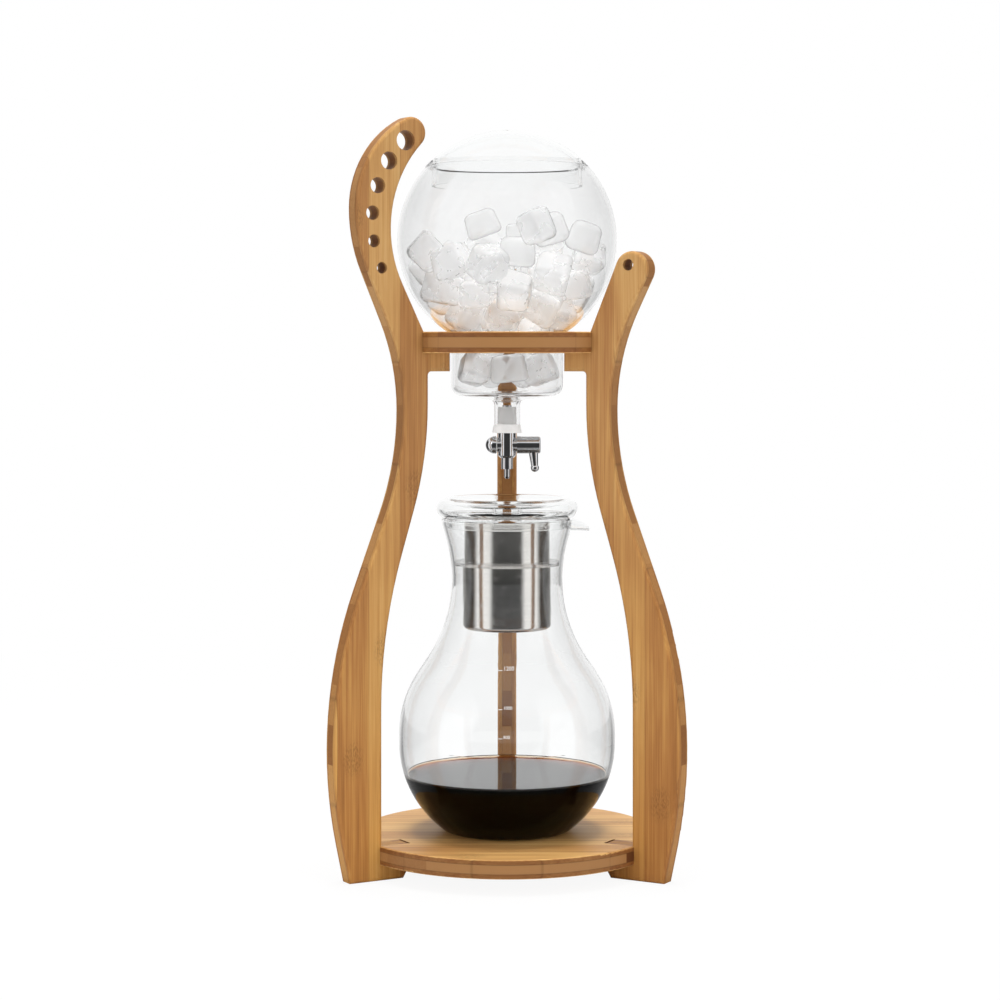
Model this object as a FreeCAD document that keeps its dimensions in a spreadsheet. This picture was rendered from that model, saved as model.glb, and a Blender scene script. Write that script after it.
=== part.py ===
import FreeCAD, Part
import math
import os
import Sketcher

# Cold drip coffee tower: three bamboo legs carry a base disc and a ring plate. A glass water
# globe sits in the ring, and its tap drips through the lid into a filter in the carafe's neck.
# Millimetres, +Z up. The origin is on the floor in the middle of the tower's footprint, and the
# tower's axis stands a little in front of it. The carafe leaves towards the front, -Y.

document = FreeCAD.newDocument("ColdDripTower")
sheet = document.addObject("Spreadsheet::Sheet", "Sizes")

DRIVING_SIZES = {
    "board_thick": 13.2,          # thickness of the leg boards
    "board_round": 2.2,           # rounding of the boards' long edges
    "joint_gap": 0.15,            # play between a tenon and the sides of its notch
    "notch_relief": 1.8,          # room left at the inner end of a notch
    "ledge_width": 3.5,           # how far a leg reaches under a plate past its tenon
    "belly_reach": 128,           # outermost radius of a leg, low down
    "belly_level": 83,            # height of that radius
    "foot_toe": 1.1,              # how far the foot stands proud of the belly curve
    "waist_reach": 78.6,          # outer radius of a leg at its waist
    "waist_level": 297,           # height of the waist
    "low_run": 51.9,              # straight run of the outer edge between belly and waist
    "low_share": 0.607,           # the belly's share of the radii of the curves beside that run
    "crest_reach": 112.5,         # outer radius of the tall leg's crest
    "crest_level": 424.5,         # height of the crest
    "high_run": 34.7,             # straight run of the outer edge between waist and crest
    "high_share": 0.418,          # the crest's share of the radii of the curves beside that run
    "head_curve": 65,             # outer curve over the tall leg's head
    "nose_curve": 10,             # radius of the rounded nose
    "nose_inset": 39.5,           # distance of the nose's centre inside the crest
    "crest_width": 24.8,          # width of the tall leg from its crest to its throat
    "throat_run": 34.1,           # straight run of the inner edge from the throat to the ring plate
    "inner_belly": 94.5,          # inner radius of a leg, low down
    "inner_belly_top": 108,       # height where the inner edge starts to lean in
    "inner_waist": 61.2,          # inner radius of a leg at its waist
    "inner_waist_level": 300,     # height of the inner waist
    "inner_run": 28.5,            # straight run of the inner edge between belly and waist
    "inner_share": 0.591,         # the belly's share of the radii of the curves beside that run
    "plate_shoulder": 64.3,       # inner radius of the legs above the ring plate
    "short_cap": 11.6,            # radius of the short legs' round tops
    "short_cap_reach": 93.8,      # how far out the centre of a round top is
    "short_cap_level": 385.9,     # height of that centre
    "short_run": 23.4,            # straight run between the waist and that round top
    "foot_slant": 6,              # how far the foot arm's end slants in
    "tab_height": 11.8,           # height of the tab under the ring plate
    "tab_root": 2.6,              # fillet where the tab leaves the leg
    "nose_wall": 3.55,            # how much smaller the tall leg's largest hole is than the nose
    "hole_ratio": 0.893,          # size of each hole next to the one above
    "hole_count": 6,              # holes in the tall leg
    "hole_spread": 3.5,           # how much larger the holes' arc is than the head's curve
    "hole_inset": 11,             # distance of that arc inside the crest
    "hole_arc_down": 8.2,         # distance of that arc's centre below the crest
    "hole_top_angle": 49,         # direction of the first hole from that centre, in degrees
    "hole_step_angle": 14.9,      # angle between two holes, in degrees
    "short_hole": 3.65,           # radius of the hole in a short leg
    "short_hole_in": 1.8,         # distance of that hole inside the round top's centre
    "short_hole_up": 2.9,         # distance of that hole above the round top's centre
    "plate_overlap": 2,           # how far a plate's rim reaches past the legs' inner edge
    "disc_level": 10,             # underside of the base disc
    "disc_thick": 12,             # thickness of the base disc
    "disc_tenon": 18,             # length of a leg's tenon in the disc
    "plate_level": 333,           # underside of the ring plate
    "plate_thick": 13.6,          # thickness of the ring plate
    "plate_tenon": 12.5,          # length of a leg's tenon in the plate
    "seat_hole": 38.5,            # radius of the ring plate's hole
    "seat_round": 1.5,            # rounding of the hole's edges
    "rim_round": 1.2,             # rounding of the plates' rims
    "rest_gap": 0.3,              # gap between pieces that rest on each other
    "glass_wall": 2.2,            # wall of the globe and of the carafe
    "globe_ball": 71.5,           # outer radius of the globe
    "globe_mouth": 48,            # height of the globe's mouth above its centre
    "shank_radius": 36.5,         # outer radius of the globe's lower cylinder
    "shank_blend": 3,             # fillet between ball and cylinder
    "shank_depth": 101.7,         # depth of the cylinder's floor edge below the ball's centre
    "shank_corner": 7,            # outer corner radius of the cylinder's floor
    "floor_fall": 2.6,            # fall of the floor towards the neck
    "neck_radius": 8.5,           # outer radius of the globe's neck
    "neck_blend": 3,              # fillet between floor and neck
    "neck_length": 15.7,          # length of the neck
    "collar_depth": 13,           # depth of the globe lid's collar
    "collar_play": 0.8,           # play of the collar in the mouth
    "fit_play": 0.05,             # play of turned pieces that are fixed together
    "stopper_plug": 11.2,         # height of the stopper inside the neck
    "stopper_taper": 0.4,         # how much the plug narrows to its top
    "stopper_flange": 5.6,        # height of the stopper below the neck
    "stopper_foot": 9.8,          # radius of the stopper's foot
    "spigot_radius": 3,           # radius of the tap's inlet spigot
    "spigot_rise": 1,             # how far the spigot stands above the stopper
    "water_bore": 1.5,            # radius of the water way
    "tap_radius": 5.85,           # radius of the tap's upright body
    "tap_height": 16.4,           # height of the upright body
    "tap_axis": 8,                # depth of the cock's axis below the body's top
    "tap_bevel": 1.6,             # bevel at the body's lower end
    "collet_radius": 3.8,         # radius of the part that holds the nozzle
    "collet_height": 7.2,         # height of that part
    "boss_radius": 4.6,           # radius of the bosses beside the body
    "boss_reach": 6.4,            # half length over the bosses
    "cock_radius": 3.2,           # radius of the bore for the cock
    "cock_play": 0.04,            # running play of the cock in its bore
    "cock_left": 11,              # reach of the cock to the left
    "cock_right": 16,             # reach of the cock to the right
    "ring_wire": 0.55,            # half thickness of the cock's seals
    "ring_offset": 3.6,           # distance of a seal from the tap's axis
    "washer_thick": 0.5,          # thickness of the cock's washer
    "washer_radius": 5,           # radius of the cock's washer
    "cap_radius": 5.8,            # radius of the domed cap
    "cap_length": 1.2,            # length of the cap's straight part
    "hub_radius": 5.7,            # radius of the lever's hub
    "hub_length": 15.4,           # length of the hub
    "hub_round": 1.2,             # rounding of the hub's end
    "lever_inset": 5.1,           # distance of the lever from the hub's end
    "lever_root": 3.1,            # radius of the lever at the hub
    "lever_tip": 2.3,             # radius of the lever above its ball
    "lever_length": 15,           # length of the lever from the cock's axis
    "lever_lean": 5.5,            # angle by which the lever leans away from the tap, in degrees
    "lever_ball": 2.7,            # radius of the ball
    "nozzle_radius": 1.9,         # radius of the drip nozzle
    "nozzle_length": 6.4,         # length of the nozzle below the collet
    "nozzle_taper": 0.7,          # how much the nozzle narrows at its tip
    "nozzle_bore": 0.8,           # radius of the drip hole
    "stem_radius": 2.5,           # radius of the nozzle's stem
    "stem_length": 3.6,           # length of the stem
    "seal_thick": 0.8,            # thickness of the nozzle's seal
    "carafe_belly": 70.4,         # largest outer radius of the carafe
    "carafe_heel": 36.7,          # radius where the heel's rounding starts
    "carafe_heel_curve": 10,      # radius of the heel's rounding
    "carafe_band": 5,             # height of the straight band at the belly
    "carafe_neck": 36.1,          # smallest outer radius of the carafe's neck
    "carafe_neck_curve": 92,      # radius of the neck's hollow curve
    "carafe_mouth": 42.6,         # outer radius of the mouth
    "carafe_mouth_curve": 12,     # radius of the curve under the mouth
    "carafe_lip": 1,              # height of the rim above that curve
    "curve_slack": 0.5,           # straight run left between two curves
    "spout_reach": 53.5,          # how far the pouring lip reaches
    "spout_width": 11,            # half width of the lip at the rim
    "spout_tip_width": 3.6,       # half width of the lip at its tip
    "spout_drop": 5.2,            # how far the lip's tip droops
    "spout_depth": 7.5,           # depth of the lip at the rim
    "spout_tip_depth": 2.4,       # depth of the lip at its tip
    "spout_wall": 1.4,            # wall of the lip
    "lid_bulge": 6.9,             # radius of the lid's round rim
    "lid_radius": 45.9,           # outer radius of the carafe's lid
    "lid_wall": 2.8,              # wall of the lid
    "lid_skirt": 5,               # depth of the lid's skirt below the rim
    "skirt_play": 0.5,            # play of the skirt in the mouth
    "dish_centre": 18,            # radius at which the lid's dish is deepest
    "dish_curve": 50,             # radius of the dish's curve
    "dish_depth": 3.2,            # depth of the dish
    "drip_hole": 7.2,             # radius of the lid's drip hole
    "drip_lip": 1.4,              # radius of the lip round the hole
    "drip_height": 8.8,           # height of the collar round the hole
    "can_radius": 28,             # outer radius of the filter's upper part
    "can_step": 0.8,              # how much wider the lower part is
    "can_height": 71,             # height of the filter
    "can_foot": 42,               # height of the filter's lower part
    "can_wall": 0.8,              # wall of the filter
    "can_corner": 3,              # corner radius at the filter's bottom
    "can_lip": 4,                 # width of the ledge that holds the screen
    "can_sunk": 0.3,              # how far the filter's rim is below the mouth
    "bead_wire": 1.3,             # radius of the filter's rolled rim
    "ring_thick": 2.2,            # thickness of the support ring
    "sheet_thick": 0.6,           # thickness of the screen and of the spreader
    "hole_pitch": 7,              # distance between the rings of holes in them
    "hole_rings": 3,              # rings of holes in each of them
    "drain_hole": 1,              # radius of one of those holes
    "spreader_depth": 7,          # depth of the spreader below the filter's rim
}

for row, (alias, value) in enumerate(DRIVING_SIZES.items(), start=1):
    sheet.set("A%d" % row, alias)
    sheet.set("B%d" % row, str(value))
    sheet.setAlias("B%d" % row, alias)
document.recompute()


# --- Sizes that know both their number and their spreadsheet expression --------------------------

class Size:
    """A length, as a number to draw with and as text for setExpression."""

    def __init__(self, value, text):
        self.value = value
        self.text = text

    def __add__(self, other):
        return joined(self, "+", other, self.value + number(other))

    def __sub__(self, other):
        return joined(self, "-", other, self.value - number(other))

    def __mul__(self, other):
        return joined(self, "*", other, self.value * number(other))

    def __truediv__(self, other):
        return joined(self, "/", other, self.value / number(other))

    def __neg__(self):
        return Size(-self.value, "(0 - %s)" % self.text)


def number(thing):
    return thing.value if isinstance(thing, Size) else thing


def words(thing):
    return thing.text if isinstance(thing, Size) else repr(thing)


def joined(left, sign, right, value):
    return Size(value, "(%s %s %s)" % (words(left), sign, words(right)))


def root_of(square):
    return Size(math.sqrt(square.value), "sqrt(%s)" % square.text)


def side_of(longest, other):
    """The third side of a right triangle, from its longest side and one other."""
    return root_of(longest * longest - other * other)


def along(distance, degrees):
    """The two components of a distance in a direction given in degrees."""
    turn = math.radians(degrees.value)
    across = Size(distance.value * math.cos(turn), "%s * cos(%s * 1deg)" % (distance.text, degrees.text))
    up = Size(distance.value * math.sin(turn), "%s * sin(%s * 1deg)" % (distance.text, degrees.text))
    return across, up


def size(alias):
    return Size(float(sheet.get(alias)), "Sizes." + alias)


ZERO = Size(0.0, "0")


# --- Outlines: corners and rounds joined by straight tangent runs --------------------------------

class Corner:
    """A sharp point of an outline."""

    free = None

    def __init__(self, x, z):
        self.x = x
        self.z = z


class Round:
    """An arc about a centre, turning left (+1) or right (-1) along the outline.

    Where it touches its neighbour without a straight run between them, `free` names the one of
    x, z and radius that the touching decides.
    """

    def __init__(self, x, z, radius, turn, free=None):
        self.x = x
        self.z = z
        self.radius = radius
        self.turn = turn
        self.free = free


class Cut:
    """A point where the Round beside it is cut off, at a given x or a given z."""

    free = None

    def __init__(self, x=None, z=None, side=1):
        self.x = x
        self.z = z
        self.side = side

    def on(self, arc):
        given, middle = (self.x, arc.x) if self.z is None else (self.z, arc.z)
        reach = self.side * math.sqrt(arc.radius.value ** 2 - (given.value - middle.value) ** 2)
        if self.z is None:
            return given.value, arc.z.value + reach
        return arc.x.value + reach, given.value


def tangent_run(first, last):
    """End points of the straight run from one Corner or Round to the next."""
    first_radius = first.turn * first.radius.value if isinstance(first, Round) else 0.0
    last_radius = last.turn * last.radius.value if isinstance(last, Round) else 0.0
    run = last.x.value - first.x.value
    rise = last.z.value - first.z.value
    lean = (last_radius - first_radius) / math.hypot(run, rise)
    heading = math.atan2(rise, run) - math.asin(max(-1.0, min(1.0, lean)))
    normal = (-math.sin(heading), math.cos(heading))
    start = (first.x.value - first_radius * normal[0], first.z.value - first_radius * normal[1])
    end = (last.x.value - last_radius * normal[0], last.z.value - last_radius * normal[1])
    return start, end


def find_ends(steps):
    """Where the outline enters and leaves each of its steps."""
    enters = [None] * len(steps)
    leaves = [None] * len(steps)
    for index, step in enumerate(steps):
        after = (index + 1) % len(steps)
        following = steps[after]
        if isinstance(step, Cut) and isinstance(following, Round):
            enters[index] = leaves[index] = enters[after] = step.on(following)
        elif isinstance(step, Round) and isinstance(following, Cut):
            leaves[index] = enters[after] = leaves[after] = following.on(step)
        elif not isinstance(step, Cut) and not isinstance(following, Cut):
            leaves[index], enters[after] = tangent_run(step, following)
        if isinstance(step, Corner):
            enters[index] = leaves[index] = (step.x.value, step.z.value)
    return enters, leaves


def vector(point):
    return FreeCAD.Vector(point[0], point[1], 0)


def arc_between(arc, enter, leave):
    """The arc's geometry, which always runs anticlockwise in a sketch."""
    centre = (arc.x.value, arc.z.value)
    start, end = (enter, leave)[::arc.turn]
    start_angle = math.atan2(start[1] - centre[1], start[0] - centre[0])
    end_angle = math.atan2(end[1] - centre[1], end[0] - centre[0])
    if end_angle <= start_angle:
        end_angle += 2 * math.pi
    circle = Part.Circle(vector(centre), FreeCAD.Vector(0, 0, 1), arc.radius.value)
    return Part.ArcOfCircle(circle, start_angle, end_angle)


def bind(sketch, constraint, distance):
    index = sketch.addConstraint(constraint)
    sketch.setExpression("Constraints[%d]" % index, distance.text)


def pin(sketch, piece, point, place):
    """Holds a point of a piece at the place's x, z or both, unless touching decides it."""
    for kind, name in (("DistanceX", "x"), ("DistanceY", "z")):
        distance = getattr(place, name)
        if distance is not None and place.free != name:
            bind(sketch, Sketcher.Constraint(kind, -1, 1, piece, point, distance.value), distance)


def draw_outline(sketch, steps):
    """Draws a closed outline and binds its corners, centres and radii to the spreadsheet."""
    shortest_run = 1e-4
    enters, leaves = find_ends(steps)
    pieces = []
    for index, step in enumerate(steps):
        after = (index + 1) % len(steps)
        following = steps[after]
        fixed = isinstance(following, (Corner, Cut))
        has_run = math.dist(leaves[index], enters[after]) > shortest_run
        if isinstance(step, Round):
            piece = sketch.addGeometry(arc_between(step, enters[index], leaves[index]), False)
            pin(sketch, piece, 3, step)
            if step.free != "radius":
                bind(sketch, Sketcher.Constraint("Radius", piece, step.radius.value), step.radius)
            joint = following if isinstance(following, Cut) else True
            pieces.append((piece,) + (1, 2)[::step.turn] + (joint,))
        if has_run:
            run = Part.LineSegment(vector(leaves[index]), vector(enters[after]))
            pieces.append((sketch.addGeometry(run, False), 1, 2, following if fixed else True))
    for index, (piece, first_end, last_end, joint) in enumerate(pieces):
        neighbour, next_end = pieces[(index + 1) % len(pieces)][:2]
        kind = "Tangent" if joint is True else "Coincident"
        sketch.addConstraint(Sketcher.Constraint(kind, piece, last_end, neighbour, next_end))
        if isinstance(joint, (Corner, Cut)):
            pin(sketch, piece, last_end, joint)


def draw_circle(sketch, x, z, radius):
    circle = Part.Circle(vector((x.value, z.value)), FreeCAD.Vector(0, 0, 1), radius.value)
    piece = sketch.addGeometry(circle, False)
    pin(sketch, piece, 3, Corner(x, z))
    bind(sketch, Sketcher.Constraint("Radius", piece, radius.value), radius)


def inside(rounds, wall):
    """The same rounds walked back, one wall further in."""
    return [Round(arc.x, arc.z, arc.radius - wall * arc.turn, -arc.turn, arc.free)
            for arc in reversed(rounds)]


# --- Sub-parts: bodies, sketches and features ------------------------------------------------------

subparts = []
disc_radius = size("inner_belly") + size("plate_overlap")
axis_setting = (disc_radius - size("belly_reach")) / 2


def new_body(label, level=None, turn=0.0):
    """A named body, raised to a level and turned about the tower's axis."""
    body = document.addObject("PartDesign::Body", label)
    body.Placement = FreeCAD.Placement(FreeCAD.Vector(), FreeCAD.Rotation(FreeCAD.Vector(0, 0, 1), turn))
    if level is not None:
        body.setExpression("Placement.Base.z", level.text)
    return keep(body, label)


def keep(piece, label):
    """Names a finished piece and stands it on the tower's axis."""
    piece.Label = label
    piece.setExpression("Placement.Base.y", axis_setting.text)
    subparts.append(piece)
    return piece


def new_sketch(body, name, role="XZ_Plane", offset=None):
    """A sketch on one of the body's origin planes, or at an offset along its normal."""
    sketch = body.newObject("Sketcher::SketchObject", name)
    plane = [feature for feature in body.Origin.OriginFeatures if feature.Role == role][0]
    sketch.AttachmentSupport = [(plane, "")]
    sketch.MapMode = "FlatFace"
    if offset is not None:
        sketch.AttachmentOffset = FreeCAD.Placement(offset_vector(offset), FreeCAD.Rotation())
        sketch.setExpression("AttachmentOffset.Base.z", offset.text)
    return sketch


def offset_vector(offset):
    return FreeCAD.Vector(0, 0, offset.value)


def add_feature(body, kind, name, sketch, length, both_ways=False, backwards=False):
    """A pad or a pocket of a sketch."""
    feature = body.newObject("PartDesign::" + kind, name)
    feature.Profile = sketch
    feature.setExpression("Length", length.text)
    feature.SideType = "Symmetric" if both_ways else "One side"
    feature.Reversed = backwards
    document.recompute()
    return feature


def add_revolution(body, name, sketch, axis="V_Axis"):
    feature = body.newObject("PartDesign::Revolution", name)
    feature.Profile = sketch
    feature.ReferenceAxis = (sketch, [axis])
    feature.Angle = 360
    document.recompute()
    return feature


def add_fillet(body, name, edges, radius):
    """Rounds the edges of the body's tip for which the given test is true."""
    base = body.Tip
    chosen = ["Edge%d" % index for index, edge in enumerate(base.Shape.Edges, 1) if edges(edge)]
    fillet = body.newObject("PartDesign::Fillet", name)
    fillet.Base = (base, chosen)
    fillet.setExpression("Radius", radius.text)
    document.recompute()
    return fillet


def repeat_round(body, name, feature, count):
    """Repeats a feature evenly round the body's vertical axis."""
    pattern = body.newObject("PartDesign::PolarPattern", name)
    pattern.Originals = [feature]
    pattern.Axis = ([axis for axis in body.Origin.OriginFeatures if axis.Role == "Z_Axis"][0], [""])
    pattern.Angle = 360
    pattern.Occurrences = count
    body.Tip = pattern
    document.recompute()
    return pattern


def turned(label, steps, level=None, axis="V_Axis"):
    """A piece turned from an outline about the tower's axis, or about the cock's."""
    body = new_body(label, level)
    sketch = new_sketch(body, label + "_outline")
    draw_outline(sketch, steps)
    add_revolution(body, label + "_turned", sketch, axis)
    return body


def box_outline(left, right, low, high):
    return [Corner(left, low), Corner(right, low), Corner(right, high), Corner(left, high)]


# --- Wooden frame ----------------------------------------------------------------------------------

overrun = 1.1                     # how much further than the edge a notch is cut
right_through = 2                 # length of a through cut next to what it goes through
tower_sides = 3
tall_direction = 210.0

disc_top = size("disc_level") + size("disc_thick")
plate_top = size("plate_level") + size("plate_thick")
tab_bottom = size("plate_level") - size("tab_height")
disc_tenon_end = size("inner_belly") - size("disc_tenon")
plate_tenon_end = size("inner_waist") - size("plate_tenon")
disc_ledge_end = disc_tenon_end - size("ledge_width")
plate_ledge_end = plate_tenon_end - size("ledge_width")
plate_radius = size("plate_shoulder") + size("plate_overlap")


def opposed_curves(reach, waist, rise, run, share):
    """Radii of a bulging curve and a hollow one, both upright at their ends.

    The bulge reaches out to `reach` and the hollow in to `waist`, `rise` above or below it. The
    straight run between them is tangent to both, and the bulge has its share of the two radii.
    """
    across = reach - waist
    both = (across * across + rise * rise - run * run) / (across * 2)
    bulge = both * share
    return bulge, both - bulge


def outer_edge(high):
    """The lower outer edge, from the foot over the belly to the waist, hollow above it too."""
    reach, waist = size("belly_reach"), size("waist_reach")
    rise = size("waist_level") - size("belly_level")
    curve, low = opposed_curves(reach, waist, rise, size("low_run"), size("low_share"))
    foot = reach - curve + side_of(curve, size("belly_level")) + size("foot_toe")
    return [
        Corner(foot, ZERO),
        Round(reach - curve, size("belly_level"), curve, 1),
        Round(waist + low, size("waist_level"), low, -1),
        Round(waist + high, size("waist_level"), high, -1, free="x"),
    ]


def inner_edge():
    """The inner edge, from the ring plate's joint down to the disc's joint and the foot."""
    root = size("tab_root")
    rise = size("inner_waist_level") - size("inner_belly_top")
    belly, waist = opposed_curves(
        size("inner_belly"), size("inner_waist"), rise, size("inner_run"), size("inner_share"))
    return [
        Corner(size("plate_shoulder"), plate_top),
        Corner(plate_tenon_end, plate_top),
        Corner(plate_tenon_end, size("plate_level")),
        Corner(plate_ledge_end, size("plate_level")),
        Corner(plate_ledge_end, tab_bottom),
        Round(size("inner_waist") - root, tab_bottom - root, root, -1),
        Round(size("inner_waist") + waist, size("inner_waist_level"), waist, 1),
        Round(size("inner_belly") - belly, size("inner_belly_top"), belly, -1),
        Corner(size("inner_belly"), disc_top),
        Corner(disc_tenon_end, disc_top),
        Corner(disc_tenon_end, size("disc_level")),
        Corner(disc_ledge_end, size("disc_level")),
        Corner(disc_ledge_end + size("foot_slant"), ZERO),
    ]


def throat_curve(nose_level):
    """How far the throat is below the nose's centre, and its radius.

    The throat is upright where the leg is as wide as at its crest. It touches the nose, and a
    straight run joins it to the leg's corner over the ring plate.
    """
    nose, run = size("nose_curve"), size("throat_run")
    back = size("nose_inset") - size("crest_width")
    out = size("crest_reach") - size("crest_width") - size("plate_shoulder")
    up, span = nose_level - plate_top, back + nose
    whole = up * up + out * out - out * (back - nose) - run * run
    fall = whole / (up + root_of(up * up - whole * (span - out) / span))
    return fall, (back - nose + fall * fall / span) / 2


def tall_edge():
    """The tall leg: up to its crest, the curl over the globe and the throat behind it."""
    reach, level = size("crest_reach"), size("crest_level")
    head, nose = size("head_curve"), size("nose_curve")
    crest, high = opposed_curves(
        reach, size("waist_reach"), level - size("waist_level"), size("high_run"), size("high_share"))
    nose_level = level + side_of(head - nose, head - size("nose_inset"))
    fall, throat = throat_curve(nose_level)
    return outer_edge(high) + [
        Round(reach - crest, level, crest, 1),
        Round(reach - head, level, head, 1, free="x"),
        Round(reach - size("nose_inset"), nose_level, nose, 1, free="z"),
        Round(reach - size("crest_width") - throat, nose_level - fall, throat, -1, free="radius"),
    ] + inner_edge()


def short_edge():
    """A short leg: up to its round top, which a straight run joins to the waist."""
    cap, run = size("short_cap"), size("short_run")
    reach, level = size("short_cap_reach"), size("short_cap_level")
    across, rise = reach - size("waist_reach"), level - size("waist_level")
    high = (across * across + rise * rise - cap * cap - run * run) / ((across + cap) * 2)
    return outer_edge(high) + [Round(reach, level, cap, 1)] + inner_edge()


def tall_holes():
    """Centres and radii of the holes, which shrink along an arc down the tall leg."""
    arc = size("head_curve") + size("hole_spread")
    centre_x = size("crest_reach") - size("hole_inset") - arc
    centre_z = size("crest_level") - size("hole_arc_down")
    radius = size("nose_curve") - size("nose_wall")
    holes = []
    for index in range(int(size("hole_count").value)):
        angle = size("hole_top_angle") - size("hole_step_angle") * index
        across, up = along(arc, angle)
        holes.append((centre_x + across, centre_z + up, radius))
        radius = radius * size("hole_ratio")
    return holes


def short_holes():
    """Centre and radius of the one hole in a short leg."""
    x = size("short_cap_reach") - size("short_hole_in")
    z = size("short_cap_level") + size("short_hole_up")
    return [(x, z, size("short_hole"))]


def is_long_edge(edge):
    """True for edges of a board's two faces, away from its tenons and the ledges they rest on."""
    near = 1e-3
    middle = edge.valueAt((edge.FirstParameter + edge.LastParameter) / 2)
    on_face = abs(abs(middle.y) - size("board_thick").value / 2) < near
    in_disc_joint = middle.x < size("inner_belly").value - near and (
        size("disc_level").value - near < middle.z < disc_top.value + near)
    in_plate_joint = middle.x < size("plate_shoulder").value - near and (
        size("plate_level").value - near < middle.z < plate_top.value + near)
    return on_face and not in_disc_joint and not in_plate_joint


def make_leg(label, place, edge, holes):
    """One leg board: its outline padded both ways, bored and rounded."""
    body = new_body(label, turn=tall_direction + 360 / tower_sides * place)
    outline = new_sketch(body, label + "_outline")
    draw_outline(outline, edge)
    add_feature(body, "Pad", label + "_board", outline, size("board_thick"), both_ways=True)
    add_fillet(body, label + "_rounding", is_long_edge, size("board_round"))
    bores = new_sketch(body, label + "_bores")
    for x, z, radius in holes:
        draw_circle(bores, x, z, radius)
    add_feature(body, "Pocket", label + "_holes", bores, size("board_thick") * right_through,
                both_ways=True)
    return body


def make_plate(label, level, thick, radius, tenon_end, hole=None):
    """A round plate with a notch for each leg's tenon, and a hole if it is the ring."""
    body = new_body(label, level, turn=tall_direction)
    sketch = new_sketch(body, label + "_outline", "XY_Plane")
    draw_circle(sketch, ZERO, ZERO, radius)
    if hole is not None:
        draw_circle(sketch, ZERO, ZERO, hole)
    add_feature(body, "Pad", label + "_plate", sketch, thick)
    add_fillet(body, label + "_rim", circles_of(radius), size("rim_round"))
    if hole is not None:
        add_fillet(body, label + "_seat", circles_of(hole), size("seat_round"))
    notch = new_sketch(body, label + "_notch", "XY_Plane")
    half_width = size("board_thick") / 2 + size("joint_gap")
    inner_end = tenon_end - size("notch_relief")
    draw_outline(notch, box_outline(inner_end, radius * overrun, -half_width, half_width))
    cut = add_feature(body, "Pocket", label + "_slot", notch, thick, backwards=True)
    repeat_round(body, label + "_slots", cut, tower_sides)
    return body


def circles_of(radius):
    """A test for full circular edges of one radius."""
    def matches(edge):
        return isinstance(edge.Curve, Part.Circle) and abs(edge.Curve.Radius - radius.value) < 1e-3
    return matches


make_leg("tall_leg", 0, tall_edge(), tall_holes())
for leg_place, leg_label in enumerate(("right_leg", "back_leg"), start=1):
    make_leg(leg_label, leg_place, short_edge(), short_holes())
make_plate("base_disc", size("disc_level"), size("disc_thick"), disc_radius, disc_tenon_end)
make_plate("ring_plate", size("plate_level"), size("plate_thick"), plate_radius, plate_tenon_end,
           hole=size("seat_hole"))


# --- Water globe and its lid -----------------------------------------------------------------------

wall = size("glass_wall")
ball = size("globe_ball")
seat = size("seat_round")
ball_level = plate_top - seat + side_of(ball + size("rest_gap") + seat, size("seat_hole") + seat)
mouth_level = ball_level + size("globe_mouth")
floor_edge = ball_level - size("shank_depth")
floor_level = floor_edge - size("floor_fall")
neck_bottom = floor_level - size("neck_length")
neck_inside = size("neck_radius") - wall


def make_globe():
    """The blown globe: ball, cylinder, sloping floor and neck, all of one wall."""
    neck, shank = size("neck_radius"), size("shank_radius")
    low_blend, blend, corner = size("neck_blend"), size("shank_blend"), size("shank_corner")
    blend_level = ball_level - side_of(ball + blend, shank + blend)
    rounds = [
        Round(neck + low_blend, floor_level - low_blend, low_blend, -1),
        Round(shank - corner, floor_edge + corner, corner, 1),
        Round(shank + blend, blend_level, blend, -1, free="z"),
        Round(ZERO, ball_level, ball, 1),
    ]
    rim = [Cut(z=mouth_level), Cut(z=mouth_level)]
    start, end = Corner(neck, neck_bottom), Corner(neck_inside, neck_bottom)
    turned("water_globe", [start] + rounds + rim + inside(rounds, wall) + [end])


def make_globe_lid():
    """The globe's cap: the rest of the ball, with a collar that drops into the mouth."""
    dome = Round(ZERO, ball_level, ball, 1)
    collar = side_of(ball - wall, size("globe_mouth")) - size("collar_play")
    collar_bottom = mouth_level - size("collar_depth")
    seam = mouth_level + size("rest_gap")
    steps = [Cut(z=seam), dome, Cut(x=ZERO), Cut(x=ZERO)] + inside([dome], wall)
    steps += [
        Cut(x=collar - wall),
        Corner(collar - wall, collar_bottom),
        Corner(collar, collar_bottom),
        Corner(collar, seam),
    ]
    turned("globe_lid", steps)


make_globe()
make_globe_lid()


# --- Tap -------------------------------------------------------------------------------------------

play = size("fit_play")
plug_top = neck_bottom + size("stopper_plug")
tap_top = neck_bottom - size("stopper_flange") - play
cock_level = tap_top - size("tap_axis")
tap_bottom = tap_top - size("tap_height")
collet_bottom = tap_bottom - size("collet_height")
seal_level = collet_bottom + size("stem_length")
cock = size("cock_radius") - size("cock_play")


def make_stopper():
    """The silicone stopper: a tapered plug in the neck and a flared foot below it."""
    bore = size("spigot_radius") + play
    plug = neck_inside - play
    turned("neck_stopper", [
        Corner(bore, tap_top + play),
        Corner(size("stopper_foot"), tap_top + play),
        Corner(size("neck_radius"), neck_bottom - play),
        Corner(plug, neck_bottom - play),
        Corner(plug - size("stopper_taper"), plug_top),
        Corner(bore, plug_top),
    ])


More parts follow.
